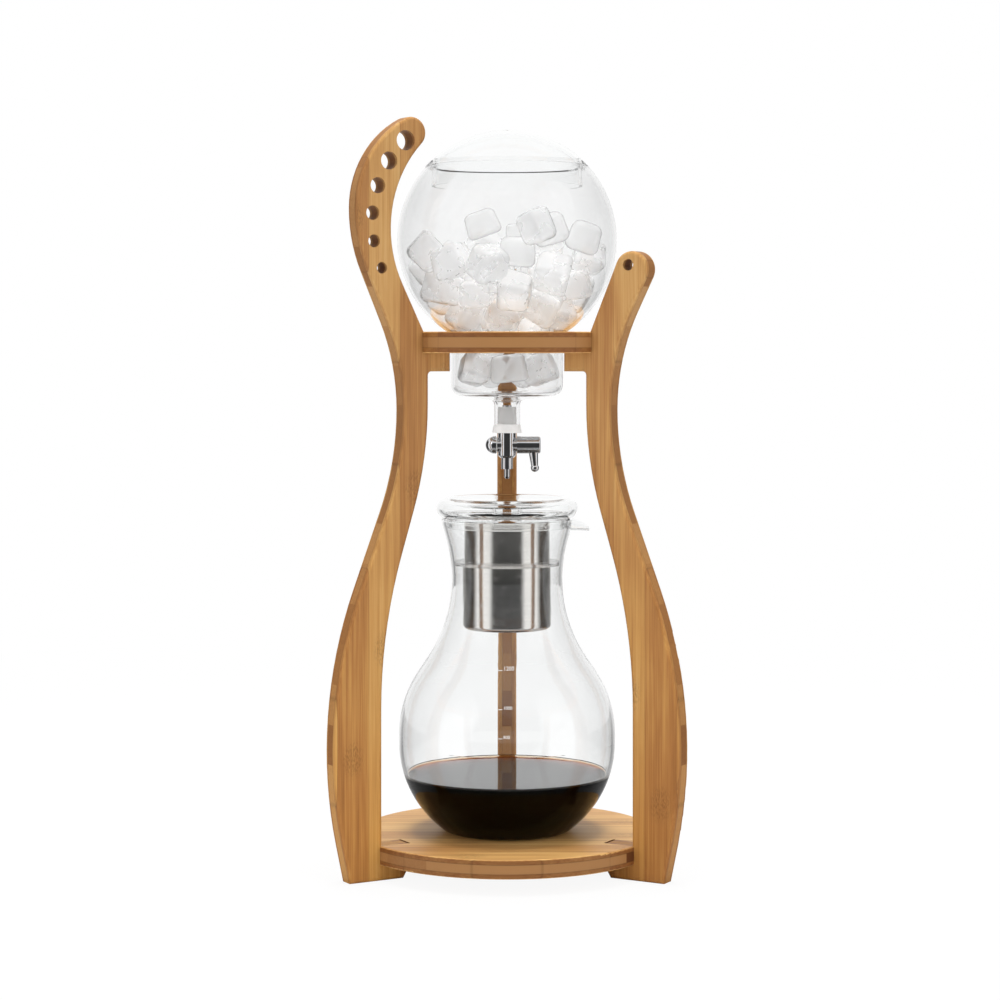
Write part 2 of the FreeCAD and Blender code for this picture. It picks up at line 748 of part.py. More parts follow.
def make_tap_body():
    """The tap's body: spigot, upright, bosses and collet, bored for water, cock and nozzle."""
    spigot, upright, collet = size("spigot_radius"), size("tap_radius"), size("collet_radius")
    bevel = size("tap_bevel")
    spigot_top = plug_top + size("spigot_rise")
    body = turned("tap_body", [
        Corner(ZERO, collet_bottom),
        Corner(collet, collet_bottom),
        Corner(collet, tap_bottom),
        Corner(upright - bevel, tap_bottom),
        Corner(upright, tap_bottom + bevel),
        Corner(upright, tap_top),
        Corner(spigot, tap_top),
        Corner(spigot, spigot_top),
        Corner(ZERO, spigot_top),
    ])
    bosses = new_sketch(body, "tap_boss_outline", "YZ_Plane")
    draw_circle(bosses, ZERO, cock_level, size("boss_radius"))
    add_feature(body, "Pad", "tap_bosses", bosses, size("boss_reach") * 2, both_ways=True)
    water = new_sketch(body, "water_way_outline", "XY_Plane", collet_bottom)
    draw_circle(water, ZERO, ZERO, size("water_bore"))
    add_feature(body, "Pocket", "water_way", water, spigot_top - collet_bottom, backwards=True)
    socket = new_sketch(body, "nozzle_socket_outline", "XY_Plane", collet_bottom)
    draw_circle(socket, ZERO, ZERO, size("stem_radius") + play)
    depth = size("stem_length") + size("seal_thick")
    add_feature(body, "Pocket", "nozzle_socket", socket, depth, backwards=True)
    bore = new_sketch(body, "cock_bore_outline", "YZ_Plane")
    draw_circle(bore, ZERO, cock_level, size("cock_radius"))
    length = size("boss_reach") * 2 * right_through
    add_feature(body, "Pocket", "cock_bore", bore, length, both_ways=True)


def make_cock():
    """The turning cock: a pin with two ring grooves and a cross hole for the water."""
    wire = size("ring_wire")
    groove = cock - wire * 2
    steps = [Corner(-size("cock_left"), ZERO), Corner(-size("cock_left"), cock)]
    for middle in (-size("ring_offset"), size("ring_offset")):
        steps += [
            Corner(middle - wire, cock),
            Corner(middle - wire, groove),
            Corner(middle + wire, groove),
            Corner(middle + wire, cock),
        ]
    steps += [Corner(size("cock_right"), cock), Corner(size("cock_right"), ZERO)]
    body = turned("tap_cock", steps, cock_level, axis="H_Axis")
    port = new_sketch(body, "cock_port_outline", "XY_Plane")
    draw_circle(port, ZERO, ZERO, size("water_bore"))
    length = size("cock_radius") * 2 * right_through
    add_feature(body, "Pocket", "cock_port", port, length, both_ways=True)


def make_cock_seals():
    """Two O-rings in the cock's grooves."""
    rings = []
    for label, offset in (("left_seal", -size("ring_offset")), ("right_seal", size("ring_offset"))):
        ring = document.addObject("Part::Torus", label)
        ring.setExpression("Radius1", (cock - size("ring_wire")).text)
        ring.setExpression("Radius2", (size("ring_wire") - play / 2).text)
        ring.Placement = FreeCAD.Placement(
            FreeCAD.Vector(), FreeCAD.Rotation(FreeCAD.Vector(0, 1, 0), 90))
        ring.setExpression("Placement.Base.x", offset.text)
        ring.setExpression("Placement.Base.z", cock_level.text)
        rings.append(ring)
    group = document.addObject("Part::Compound", "cock_seals")
    group.Links = rings
    keep(group, "cock_seals")


def make_cock_ends():
    """What holds the cock: a washer and a domed cap on the left, the lever on the right."""
    boss = size("boss_reach") + play
    washer_side = -(boss + size("washer_thick"))
    washer = box_outline(washer_side, -boss, cock + play, size("washer_radius"))
    turned("cock_washer", washer, cock_level, axis="H_Axis")
    cap_side = washer_side - play
    cap = size("cap_radius")
    turned("cock_cap", [
        Corner(cap_side, cock + play),
        Corner(cap_side, cap),
        Round(cap_side - size("cap_length"), ZERO, cap, 1),
        Cut(z=ZERO, side=-1),
        Corner(-size("cock_left") - play, ZERO),
        Corner(-size("cock_left") - play, cock + play),
    ], cock_level, axis="H_Axis")
    make_lever(boss)


def make_lever(hub_start):
    """The lever: a hub over the cock's end and a tapered arm with a ball."""
    hub, corner = size("hub_radius"), size("hub_round")
    hub_end = hub_start + size("hub_length")
    socket_end = size("cock_right") + play
    body = turned("tap_lever", [
        Corner(hub_start, hub),
        Corner(hub_start, cock + play),
        Corner(socket_end, cock + play),
        Corner(socket_end, ZERO),
        Corner(hub_end, ZERO),
        Round(hub_end - corner, hub - corner, corner, 1),
    ], cock_level, axis="H_Axis")
    arm = new_sketch(body, "lever_arm_outline")
    place = hub_end - size("lever_inset")
    lean = FreeCAD.Rotation(FreeCAD.Vector(0, 0, 1), size("lever_lean").value)
    arm.AttachmentOffset = FreeCAD.Placement(FreeCAD.Vector(place.value, 0, 0), lean)
    arm.setExpression("AttachmentOffset.Base.x", place.text)
    arm.setExpression("AttachmentOffset.Rotation.Angle", size("lever_lean").text)
    tip, length = size("lever_tip"), size("lever_length")
    shoulder = side_of(hub, size("lever_root")) - play * 2
    draw_outline(arm, [
        Corner(ZERO, -shoulder),
        Corner(size("lever_root"), -shoulder),
        Cut(x=tip),
        Round(ZERO, -length, size("lever_ball"), -1),
        Cut(x=ZERO, side=-1),
    ])
    add_revolution(body, "lever_arm", arm)


def make_nozzle():
    """The drip nozzle, held by its stem in the collet, and the seal above the stem."""
    bore, stem, tube = size("nozzle_bore"), size("stem_radius"), size("nozzle_radius")
    tip = collet_bottom - size("nozzle_length")
    taper = size("nozzle_taper")
    turned("drip_nozzle", [
        Corner(bore, tip),
        Corner(tube - taper, tip),
        Corner(tube, tip + taper * 2),
        Corner(tube, collet_bottom),
        Corner(stem, collet_bottom),
        Corner(stem, seal_level),
        Corner(bore, seal_level),
    ])
    turned("nozzle_seal", box_outline(size("water_bore"), stem, seal_level,
                                      seal_level + size("seal_thick") - play))


make_stopper()
make_tap_body()
make_cock()
make_cock_seals()
make_cock_ends()
make_nozzle()


# --- Carafe and its lid ----------------------------------------------------------------------------

belly, heel = size("carafe_belly"), size("carafe_heel_curve")
neck, neck_curve = size("carafe_neck"), size("carafe_neck_curve")
mouth, mouth_curve = size("carafe_mouth"), size("carafe_mouth_curve")
slack = size("curve_slack")
carafe_base = disc_top + size("rest_gap")
belly_low = carafe_base + heel + side_of(belly - heel, size("carafe_heel"))
belly_high = belly_low + size("carafe_band")
neck_level = belly_high + side_of(belly + neck_curve + slack, neck + neck_curve)
lip_level = neck_level + side_of(
    neck_curve + mouth_curve + slack, neck_curve + neck - mouth + mouth_curve)
carafe_top = lip_level + size("carafe_lip")
mouth_inside = mouth - wall

# Where the lip's sections stand, as shares of the way from the rim to the tip. The channel
# starts inside the mouth and runs out past the tip.
spout_shares = (0, 0.35, 0.7, 1)
channel_shares = (-0.35,) + spout_shares + (1.15,)


def spout_section(body, name, share, skin):
    """A D-shaped section of the pouring lip, flat side up, at a share of the way to its tip."""
    root = side_of(mouth - wall / 2, size("spout_width"))
    square = share * share
    distance = root + (size("spout_reach") - root) * share
    top = carafe_top - size("spout_drop") * square + skin
    half_width = size("spout_width") - (size("spout_width") - size("spout_tip_width")) * share - skin
    depth = size("spout_depth") - (size("spout_depth") - size("spout_tip_depth")) * square
    curve = (half_width * half_width + depth * depth) / (depth * 2)
    sketch = new_sketch(body, name, "YZ_Plane", distance)
    draw_outline(sketch, [Cut(z=top, side=-1), Round(ZERO, top - depth + curve, curve, 1), Cut(z=top)])
    return sketch


def add_spout_loft(body, kind, name, shares, skin):
    """A smooth loft through sections of the pouring lip, raised and narrowed by a skin."""
    sections = [spout_section(body, "%s_section_%d" % (name, index), share, skin)
                for index, share in enumerate(shares)]
    loft = body.newObject("PartDesign::" + kind, name)
    loft.Profile = sections[0]
    loft.Sections = sections[1:]
    document.recompute()
    return loft


def make_carafe():
    """The blown carafe, with a lip drawn out of its rim for pouring."""
    rounds = [
        Round(size("carafe_heel"), carafe_base + heel, heel, 1),
        Round(ZERO, belly_low, belly, 1, free="z"),
        Round(ZERO, belly_high, belly, 1),
        Round(neck + neck_curve, neck_level, neck_curve, -1),
        Round(mouth - mouth_curve, lip_level, mouth_curve, 1),
    ]
    rim = [Corner(mouth, carafe_top), Corner(mouth_inside, carafe_top)]
    floor = [Corner(ZERO, carafe_base + wall), Corner(ZERO, carafe_base)]
    body = turned("carafe", rounds + rim + inside(rounds, wall) + floor)
    add_spout_loft(body, "AdditiveLoft", "spout", spout_shares, ZERO)
    add_spout_loft(body, "SubtractiveLoft", "channel", channel_shares, size("spout_wall"))


def make_carafe_lid():
    """The glass lid: a hollow round rim, a dish and a collar round the drip hole."""
    skin, bulge, dish = size("lid_wall"), size("lid_bulge"), size("dish_curve")
    hole, lip = size("drip_hole"), size("drip_lip")
    skirt_bottom = carafe_top - size("lid_skirt")
    mouth_here = mouth - mouth_curve + side_of(mouth_curve - wall, lip_level - skirt_bottom)
    skirt = mouth_here - size("skirt_play")
    rim_level = carafe_top + size("rest_gap") + bulge
    rim_centre = size("lid_radius") - bulge
    dish_level = rim_level + bulge - size("dish_depth") + dish
    lip_centre = hole + lip
    lip_height = dish_level - side_of(dish + lip + slack, size("dish_centre") - lip_centre)
    hole_bottom = lip_height + lip - size("drip_height")
    rim = Round(rim_centre, rim_level, bulge, 1)
    bowl = Round(size("dish_centre"), dish_level, dish, -1)
    turned("carafe_lid", [
        Corner(skirt - skin, skirt_bottom),
        Corner(skirt, skirt_bottom),
        Cut(x=skirt, side=-1),
        rim,
        bowl,
        Round(lip_centre, lip_height, lip, 1),
        Corner(hole, hole_bottom),
        Corner(hole + skin, hole_bottom),
        Cut(x=hole + skin, side=-1),
    ] + inside([rim, bowl], skin) + [Cut(x=skirt - skin, side=-1)])


make_carafe()
make_carafe_lid()


# --- Filter ----------------------------------------------------------------------------------------

can, can_wall = size("can_radius"), size("can_wall")
can_top = carafe_top - size("can_sunk")
can_bottom = can_top - size("can_height")
foot_top = can_bottom + size("can_foot")
foot_radius = can + size("can_step")
holes_in_first_ring = 6


def make_canister():
    """The steel filter can: rolled rim, step for the support ring, ledge for the screen."""
    bead, corner = size("bead_wire"), size("can_corner")
    ledge = foot_radius - size("can_lip")
    foot_corner = Round(foot_radius - corner, can_bottom + corner, corner, 1)
    turned("filter_can", [
        Corner(ledge, can_bottom),
        foot_corner,
        Corner(foot_radius, foot_top),
        Corner(can, foot_top),
        Round(can - bead, can_top - bead, bead, 1),
        Cut(x=can - can_wall, side=-1),
        Corner(can - can_wall, foot_top - can_wall),
        Corner(foot_radius - can_wall, foot_top - can_wall),
    ] + inside([foot_corner], can_wall) + [Corner(ledge, can_bottom + can_wall)])


def make_support_ring():
    """The silicone ring that sits on the can's step and hangs the can in the neck."""
    neck_here = neck + neck_curve - side_of(neck_curve + wall, foot_top - neck_level)
    turned("support_ring", box_outline(can + play, neck_here - size("rest_gap"), foot_top,
                                       foot_top + size("ring_thick")))


def perforate(body, level):
    """Rings of drain holes down through a body's floor, with one more in the middle."""
    centre = new_sketch(body, body.Label + "_centre_hole", "XY_Plane", level)
    draw_circle(centre, ZERO, ZERO, size("drain_hole"))
    length = size("sheet_thick") * right_through
    add_feature(body, "Pocket", body.Label + "_centre", centre, length)
    for ring in range(1, int(size("hole_rings").value) + 1):
        name = "%s_ring_%d" % (body.Label, ring)
        sketch = new_sketch(body, name + "_hole", "XY_Plane", level)
        draw_circle(sketch, size("hole_pitch") * ring, ZERO, size("drain_hole"))
        hole = add_feature(body, "Pocket", name, sketch, length)
        repeat_round(body, name + "_holes", hole, holes_in_first_ring * ring)


def make_screens():
    """The screen on the can's ledge and the spreader that hangs in the can's rim."""
    thick = size("sheet_thick")
    above = thick * overrun
    low = can_bottom + can_wall
    screen = turned("filter_screen", box_outline(
        ZERO, foot_radius - size("can_corner"), low, low + thick))
    perforate(screen, low + above)
    cup = can - size("bead_wire") * 2 - play * 4
    floor = can_top - size("spreader_depth")
    spreader = turned("water_spreader", [
        Corner(ZERO, floor),
        Corner(cup, floor),
        Corner(cup, can_top),
        Corner(can - play, can_top),
        Corner(can - play, can_top + thick),
        Corner(cup - thick, can_top + thick),
        Corner(cup - thick, floor + thick),
        Corner(ZERO, floor + thick),
    ])
    perforate(spreader, floor + above)


make_canister()
make_support_ring()
make_screens()


# --- Check and write -------------------------------------------------------------------------------

document.recompute()
failed = [thing.Name for thing in document.Objects if {"Invalid", "Error"} & set(thing.State)]
failed += [piece.Label for piece in subparts if piece.Shape.isNull() or not piece.Shape.isValid()]
if failed:
    raise RuntimeError("these did not build: " + ", ".join(failed))

os.makedirs("parts", exist_ok=True)
for piece in subparts:
    piece.Shape.exportStep(os.path.join("parts", piece.Label + ".step"))
    print(piece.Label, len(piece.Shape.Solids), round(piece.Shape.Volume, 1))
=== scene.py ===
"""Looks for a cold drip coffee tower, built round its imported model.

Lengths in the sub-assemblies are millimetres. The meshes, the finishes and the studio are in
metres, in the model's own frame: +Z up, the feet on the floor, the front towards -Y. The tower's
axis stands a little in front of the middle of the footprint. Ice and coffee are contents: they
ride with the vessel that holds them.
"""

from __future__ import annotations

import logging
import math
from dataclasses import dataclass, field, replace
from enum import Enum

import bmesh
import bpy
import numpy as np
from mathutils import Matrix, Vector
from mathutils.bvhtree import BVHTree


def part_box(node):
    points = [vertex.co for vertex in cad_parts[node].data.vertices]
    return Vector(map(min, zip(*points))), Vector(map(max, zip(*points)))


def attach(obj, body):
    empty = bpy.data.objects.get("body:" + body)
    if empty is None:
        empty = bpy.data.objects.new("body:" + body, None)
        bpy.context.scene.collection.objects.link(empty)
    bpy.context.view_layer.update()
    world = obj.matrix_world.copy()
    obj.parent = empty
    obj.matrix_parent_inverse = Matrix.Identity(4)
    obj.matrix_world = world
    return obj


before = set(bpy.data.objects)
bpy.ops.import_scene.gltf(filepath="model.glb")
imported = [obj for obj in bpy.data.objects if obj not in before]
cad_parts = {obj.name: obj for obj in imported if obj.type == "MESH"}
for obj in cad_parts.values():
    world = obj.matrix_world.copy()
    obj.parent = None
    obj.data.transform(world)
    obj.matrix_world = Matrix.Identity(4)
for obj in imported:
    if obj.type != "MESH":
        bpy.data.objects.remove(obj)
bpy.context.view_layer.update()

MM = 0.001
UP, EAST, NORTH = Vector((0.0, 0.0, 1.0)), Vector((1.0, 0.0, 0.0)), Vector((0.0, 1.0, 0.0))
WHITE = (1.0, 1.0, 1.0)
STRAIGHT_ON = 1.001  # a refractive index at which light isn't bent
Colour = tuple[float, float, float]

logging.basicConfig(level=logging.INFO, format="%(message)s")
log = logging.getLogger("tower")


def grey(level: float) -> Colour:
    """Returns a neutral colour."""
    return (level, level, level)


# --- Shader maths ------------------------------------------------------------------------------


class Val:
    """One output socket, on which Python's operators add Math nodes."""

    def __init__(self, net: Net, socket: bpy.types.NodeSocket) -> None:
        """Keeps the socket and the net that it belongs to."""
        self.net = net
        self.socket = socket

    def _math(self, operation: str, left: Val | float, right: Val | float = 0.0) -> Val:
        """Adds one Math node.

        Args:
            operation: the Math node's operation.
            left: its first operand.
            right: its second operand, where the operation has one.

        Returns:
            The node's result.
        """
        return self.net.node("ShaderNodeMath", {"operation": operation}, {0: left, 1: right})

    def __add__(self, other: Val | float) -> Val:
        """Returns self + other."""
        return self._math("ADD", self, other)

    def __sub__(self, other: Val | float) -> Val:
        """Returns self - other."""
        return self._math("SUBTRACT", self, other)

    def __mul__(self, other: Val | float) -> Val:
        """Returns self * other."""
        return self._math("MULTIPLY", self, other)

    def __truediv__(self, other: Val | float) -> Val:
        """Returns self / other."""
        return self._math("DIVIDE", self, other)

    def __mod__(self, other: Val | float) -> Val:
        """Returns self modulo other, never negative."""
        return self._math("FLOORED_MODULO", self, other)

    def __rsub__(self, other: float) -> Val:
        """Returns other - self."""
        return self._math("SUBTRACT", other, self)

    def __abs__(self) -> Val:
        """Returns the absolute value."""
        return self._math("ABSOLUTE", self)

    def floor(self) -> Val:
        """Returns the next whole number down."""
        return self._math("FLOOR", self)

    def smooth(self, low: float, high: float) -> Val:
        """Returns 0 under low, 1 over high, and a smooth step between them."""
        return self.net.node(
            "ShaderNodeMapRange", {"interpolation_type": "SMOOTHSTEP"}, {0: self, 1: low, 2: high}
        )

    __radd__ = __add__
    __rmul__ = __mul__


class Net:
    """The node tree of one material or of the world."""

    def __init__(self, owner: bpy.types.Material | bpy.types.World) -> None:
        """Empties the owner's tree."""
        owner.use_nodes = True
        self.tree = owner.node_tree
        self.tree.nodes.clear()

    def node(
        self,
        kind: str,
        settings: dict[str, object] | None = None,
        sockets: dict[int | str, object] | None = None,
        out: int | str = 0,
    ) -> Val | None:
        """Adds a node.

        Args:
            kind: the node's type.
            settings: its own settings, or the stops of its ramp, which are set first.
            sockets: values or links of its inputs, by number or name.
            out: which output is returned.

        Returns:
            That output, or None where the node has none.
        """
        made = self.tree.nodes.new(kind)
        for name, value in (settings or {}).items():
            if name == "stops":
                self._set_stops(made.color_ramp, value)
            else:
                setattr(made, name, value)
        for key, value in (sockets or {}).items():
            socket = made.inputs[key]
            if isinstance(value, Val):
                self.tree.links.new(value.socket, socket)
            elif socket.type == "RGBA":
                socket.default_value = (*value, 1.0)
            else:
                socket.default_value = value
        return Val(self, made.outputs[out]) if made.outputs else None

    @staticmethod
    def _set_stops(ramp: bpy.types.ColorRamp, stops: list[tuple[float, Colour]]) -> None:
        """Gives a ramp its stops."""
        while len(ramp.elements) < len(stops):
            ramp.elements.new(1.0)
        for element, (position, colour) in zip(ramp.elements, stops):
            element.position = position
            element.color = (*colour, 1.0)

    def place(self) -> Val:
        """Returns the shaded point in the object's own frame, in metres."""
        return self.node("ShaderNodeTexCoord", out="Object")

    def place_from(self, point: Vector | tuple[float, float, float]) -> Val:
        """Returns the way from a point to the shaded point."""
        settings = {"operation": "SUBTRACT"}
        return self.node("ShaderNodeVectorMath", settings, {0: self.place(), 1: tuple(point)})

    def normal(self) -> Val:
        """Returns the surface's normal, on the side that is seen."""
        return self.node("ShaderNodeNewGeometry", out="Normal")

    def front(self) -> Val:
        """Returns 1 on a surface seen from outside its solid, and -1 from inside."""
        return 1.0 - self.node("ShaderNodeNewGeometry", out="Backfacing") * 2.0

    def dot(self, vector: Val, way: Val | Vector) -> Val:
        """Returns how far a vector goes in one direction."""
        settings = {"operation": "DOT_PRODUCT"}
        sockets = {0: vector, 1: way if isinstance(way, Val) else tuple(way)}
        return self.node("ShaderNodeVectorMath", settings, sockets, "Value")

    def scaled(self, vector: Val, factor: Val | float) -> Val:
        """Returns a vector or colour times a number."""
        settings = {"operation": "SCALE"}
        return self.node("ShaderNodeVectorMath", settings, {0: vector, "Scale": factor})

    def vector(self, x: Val | float, y: Val | float, z: Val | float) -> Val:
        """Joins three numbers."""
        return self.node("ShaderNodeCombineXYZ", {}, {0: x, 1: y, 2: z})

    def noise(self, vector: Val, scale: float = 1.0, detail: float = 2.0) -> Val:
        """Returns soft noise, about 0.5."""
        sockets = {"Vector": vector, "Scale": scale, "Detail": detail}
        return self.node("ShaderNodeTexNoise", {}, sockets)

    def random(self, value: Val) -> Val:
        """Returns one random number from 0 to 1 for each value."""
        return self.node("ShaderNodeTexWhiteNoise", {"noise_dimensions": "1D"}, {"W": value})

    def ramp(self, value: Val, stops: list[tuple[float, Colour]]) -> Val:
        """Returns a colour from a ramp."""
        return self.node("ShaderNodeValToRGB", {"stops": stops}, {0: value})

    def mixed(self, factor: Val | float, first: Val | Colour, second: Val | Colour) -> Val:
        """Returns a mix of two colours."""
        sockets = {0: factor, 6: first, 7: second}
        return self.node("ShaderNodeMix", {"data_type": "RGBA"}, sockets, 2)

    def bump(self, height: Val, strength: float, distance: float) -> Val:
        """Returns a normal that a height in metres, times distance, disturbs."""
        sockets = {"Strength": strength, "Distance": distance, "Height": height}
        return self.node("ShaderNodeBump", {}, sockets)

    def product(self, first: Val, second: Val) -> Val:
        """Returns two colours multiplied."""
        settings = {"operation": "MULTIPLY"}
        return self.node("ShaderNodeVectorMath", settings, {0: first, 1: second})

    def length(self, vector: Val) -> Val:
        """Returns a vector's length."""
        return self.node("ShaderNodeVectorMath", {"operation": "LENGTH"}, {0: vector}, "Value")

    def shader(self, sockets: dict[str, object]) -> Val:
        """Returns a Principled shader with values and links by socket name."""
        return self.node("ShaderNodeBsdfPrincipled", {}, sockets)

    def either(self, factor: Val, first: Val, second: Val) -> Val:
        """Returns the first shader where the factor is 0 and the second where it is 1."""
        return self.node("ShaderNodeMixShader", {}, {0: factor, 1: first, 2: second})

    def ray(self, what: str) -> Val:
        """Returns what the light path says of the ray."""
        return self.node("ShaderNodeLightPath", out=what)

    def lets_light_in(self, shader: Val, share: float) -> Val:
        """Returns a shader through which a share of the lamps' light goes straight on."""
        clear = self.node("ShaderNodeBsdfTransparent", {}, {"Color": grey(share)})
        return self.either(self.ray("Is Shadow Ray"), shader, clear)

    def stretches(self, way: Val) -> Val:
        """Returns what polish mirrors in a direction: pale, with two dark stretches."""
        east, north = self.dot(way, EAST), self.dot(way, NORTH)
        turn = self.node("ShaderNodeMath", {"operation": "ARCTAN2"}, {0: east, 1: north})
        levels = (
            (0.0, 1.0), (0.08, 1.0), (0.20, 0.24), (0.30, 0.06), (0.47, 0.03),
            (0.55, 1.0), (0.74, 1.0), (0.80, 0.04), (1.0, 0.04),
        )
        return self.ramp(abs(turn) / math.pi, [(at, grey(level)) for at, level in levels])

    def surface(self, shader: Val, volume: Val | None = None) -> None:
        """Ends the net.

        Args:
            shader: what the surface does.
            volume: what fills the space inside, if anything does.
        """
        ends = {"Surface": shader, "Volume": volume} if volume else {"Surface": shader}
        self.node("ShaderNodeOutputMaterial", {}, ends)


# --- Finishes ----------------------------------------------------------------------------------


@dataclass(frozen=True)
class Finish:
    """A surface finish that one material is made from."""

    name: str

    def draw(self, net: Net) -> None:
        """Draws the finish's shader in a net."""
        raise NotImplementedError

    def material(self) -> bpy.types.Material:
        """Makes the finish's material."""
        made = bpy.data.materials.new(self.name)
        self.draw(Net(made))
        return made


class Grain(Enum):
    """Which way a board's fibres run."""

    UPRIGHT = "up the leg"
    LEVEL = "across the plate"


@dataclass(frozen=True)
class Bamboo(Finish):
    """Lacquered bamboo ply: narrow strips, fine fibres, dark knuckles and a crossed core."""

    grain: Grain
    centre: tuple[float, float, float]
    heading: float
    core: float = 3.4 * MM
    strip: float = 22.0 * MM
    shift: float = 6.0 * MM
    block: float = 25.0 * MM
    knuckle_every: float = 170.0 * MM
    knuckle_at: float = 78.0 * MM
    knuckle_fade: tuple[float, float] = (5.0 * MM, 15.0 * MM)
    feather: float = 5.0 * MM
    bleed: float = 0.15 * MM
    contrast: float = 0.22
    blocks: float = 0.60
    tower_height: float = 0.48
    # Painted light: brightens a board's broad faces. Painted shade: darkens its cut edges.
    face_painted_light: Colour = WHITE
    edge_painted_shade: Colour = (0.86, 0.84, 0.82)
    foot_tint: Colour = (0.90, 0.76, 0.52)

    def ways(self) -> tuple[Vector, Vector, Vector]:
        """Returns the directions along the fibres, across them and through the board."""
        turn = math.radians(self.heading)
        out = Vector((math.cos(turn), math.sin(turn), 0.0))
        side = Vector((-math.sin(turn), math.cos(turn), 0.0))
        if self.grain is Grain.UPRIGHT:
            return UP, out, side
        return out, side, UP

    def draw(self, net: Net) -> None:
        """Draws strips, fibres, knuckles and cut-edge layers, with painted light and shade."""
        place, ways = net.place_from(self.centre), self.ways()
        along, across, through = board = tuple(net.dot(place, way) for way in ways)
        strip = (across + self.shift) / self.strip
        tone = (1.0 - strip.floor() % 2.0) * 0.6 + net.random(strip.floor() + 0.13) * 0.4
        fibres = self.drawn_out(net, board, 24.0, 1300.0, 3.0)
        streaks = self.drawn_out(net, board, 6.0, 300.0)
        clouds = self.drawn_out(net, board, 12.0, 30.0)
        seam = abs(strip % 1.0 - 0.5).smooth(0.485, 0.499)
        cut = 1.0 - abs(net.dot(net.normal(), ways[2])).smooth(0.35, 0.75)
        knuckle = self.knuckles(net, along, across, strip) * (1.0 - cut)
        soft = self.bleed
        core = (1.0 - abs(through).smooth(self.core - soft, self.core + soft)) * cut
        ends = net.random((along / self.block).floor() + 0.37)
        pores = self.drawn_out(net, board, 700.0, 700.0)
        glue = (1.0 - abs(abs(through) - self.core).smooth(soft, soft * 3)) * cut

        shade = 0.5 + (fibres - 0.5) * 0.45 + (streaks - 0.5) * 0.55 + (tone - 0.5) * self.contrast
        shade = shade + (clouds - 0.5) * 0.45
        wood = net.ramp(
            shade,
            [(0.0, (0.20, 0.078, 0.020)), (0.38, (0.405, 0.186, 0.058)),
             (0.62, (0.545, 0.298, 0.100)), (1.0, (0.68, 0.440, 0.190))],
        )
        end_grain = net.ramp(
            0.5 + (ends - 0.5) * self.blocks + (pores - 0.5) * 0.25,
            [(0.0, (0.22, 0.088, 0.027)), (0.5, (0.40, 0.190, 0.064)), (1.0, (0.66, 0.40, 0.17))],
        )
        wood = net.mixed(core, wood, end_grain)
        if self.grain is Grain.UPRIGHT:
            wood = net.product(wood, self.deepened(net))
        # Painted light and shade: broad faces brighter and cut edges darker, by how light falls.
        wood = net.product(wood, net.mixed(cut, self.face_painted_light, self.edge_painted_shade))
        dark = (1.0 - knuckle * 0.30) * (1.0 - seam * 0.20) * (1.0 - glue * 0.25)
        relief = fibres * 0.6 - knuckle * 0.5 - seam * 0.4 - glue * 0.4
        net.surface(net.shader({
            "Base Color": net.scaled(wood, dark),
            "Roughness": 0.48 + (fibres - 0.5) * 0.22 + core * 0.10,
            "Specular IOR Level": 0.28,
            "Coat Weight": 0.05,
            "Coat Roughness": 0.22,
            "Normal": net.bump(relief, 0.20, 0.22 * MM),
        }))

    @staticmethod
    def drawn_out(
        net: Net, board: tuple[Val, Val, Val], lengthways: float, crossways: float,
        detail: float = 2.0,
    ) -> Val:
        """Draws noise that is stretched along the fibres.

        Args:
            net: the material's net.
            board: metres along the fibres, across them and through the board.
            lengthways: how often it changes along the fibres, for each metre.
            crossways: the same, across them and through the board.
            detail: how many finer layers it has.

        Returns:
            The noise, about 0.5.
        """
        along, across, through = board
        place = net.vector(along * lengthways, across * crossways, through * crossways)
        return net.noise(place, detail=detail)

    def knuckles(self, net: Net, along: Val, across: Val, strip: Val) -> Val:
        """Draws the feathered patches where the bamboo's joints were.

        Args:
            net: the material's net.
            along: metres along the fibres.
            across: metres across them.
            strip: the strip's number, with the place in it after the point.

        Returns:
            1 in the strokes of a patch and 0 beside them.
        """
        half = self.knuckle_every / 2
        start = (1.0 - strip.floor() % 2.0) * (half * 0.8) + (self.knuckle_at - half)
        ring = (along - start) % self.knuckle_every - half
        beside = (strip % 1.0 - 0.5) * self.strip
        patch = 1.0 - net.length(net.vector(ring, beside * 1.5, 0.0)).smooth(*self.knuckle_fade)
        wave = abs((across / self.feather) % 1.0 - 0.5) * 2.4
        strokes = net.noise(net.vector(along * 480.0 + wave, across * 1300.0, 0.0), detail=2.0)
        return patch * strokes.smooth(0.40, 0.64)

    def deepened(self, net: Net) -> Val:
        """Returns the tint that makes a leg's lower end warmer and deeper."""
        height = net.dot(net.place(), UP) / self.tower_height
        return net.ramp(
            height, [(0.0, self.foot_tint), (0.28, (1.0, 0.93, 0.76)), (0.62, WHITE)]
        )


@dataclass(frozen=True)
class Glass(Finish):
    """Clear blown glass, a little wavy, with a breath of dust."""

    waves: float = 0.05
    bends: float = 1.47
    tint: Colour = (0.990, 0.995, 0.995)
    lamps_through: float = 0.94

    def draw(self, net: Net) -> None:
        """Draws the clear wall."""
        net.surface(net.lets_light_in(self.wall(net), self.lamps_through))

    def wall(self, net: Net) -> Val:
        """Returns the clear wall with its waves and a faint haze."""
        place = net.place()
        haze = net.noise(place, 55.0, 3.0).smooth(0.55, 0.85)
        waves = net.noise(place, 22.0, 1.0)
        return net.shader({
            "Base Color": net.mixed(haze, self.tint, tuple(part * 0.97 for part in self.tint)),
            "Roughness": haze * 0.035,
            "IOR": self.bends,
            "Transmission Weight": 1.0,
            "Normal": net.bump(waves, self.waves, 2.0 * MM),
        })


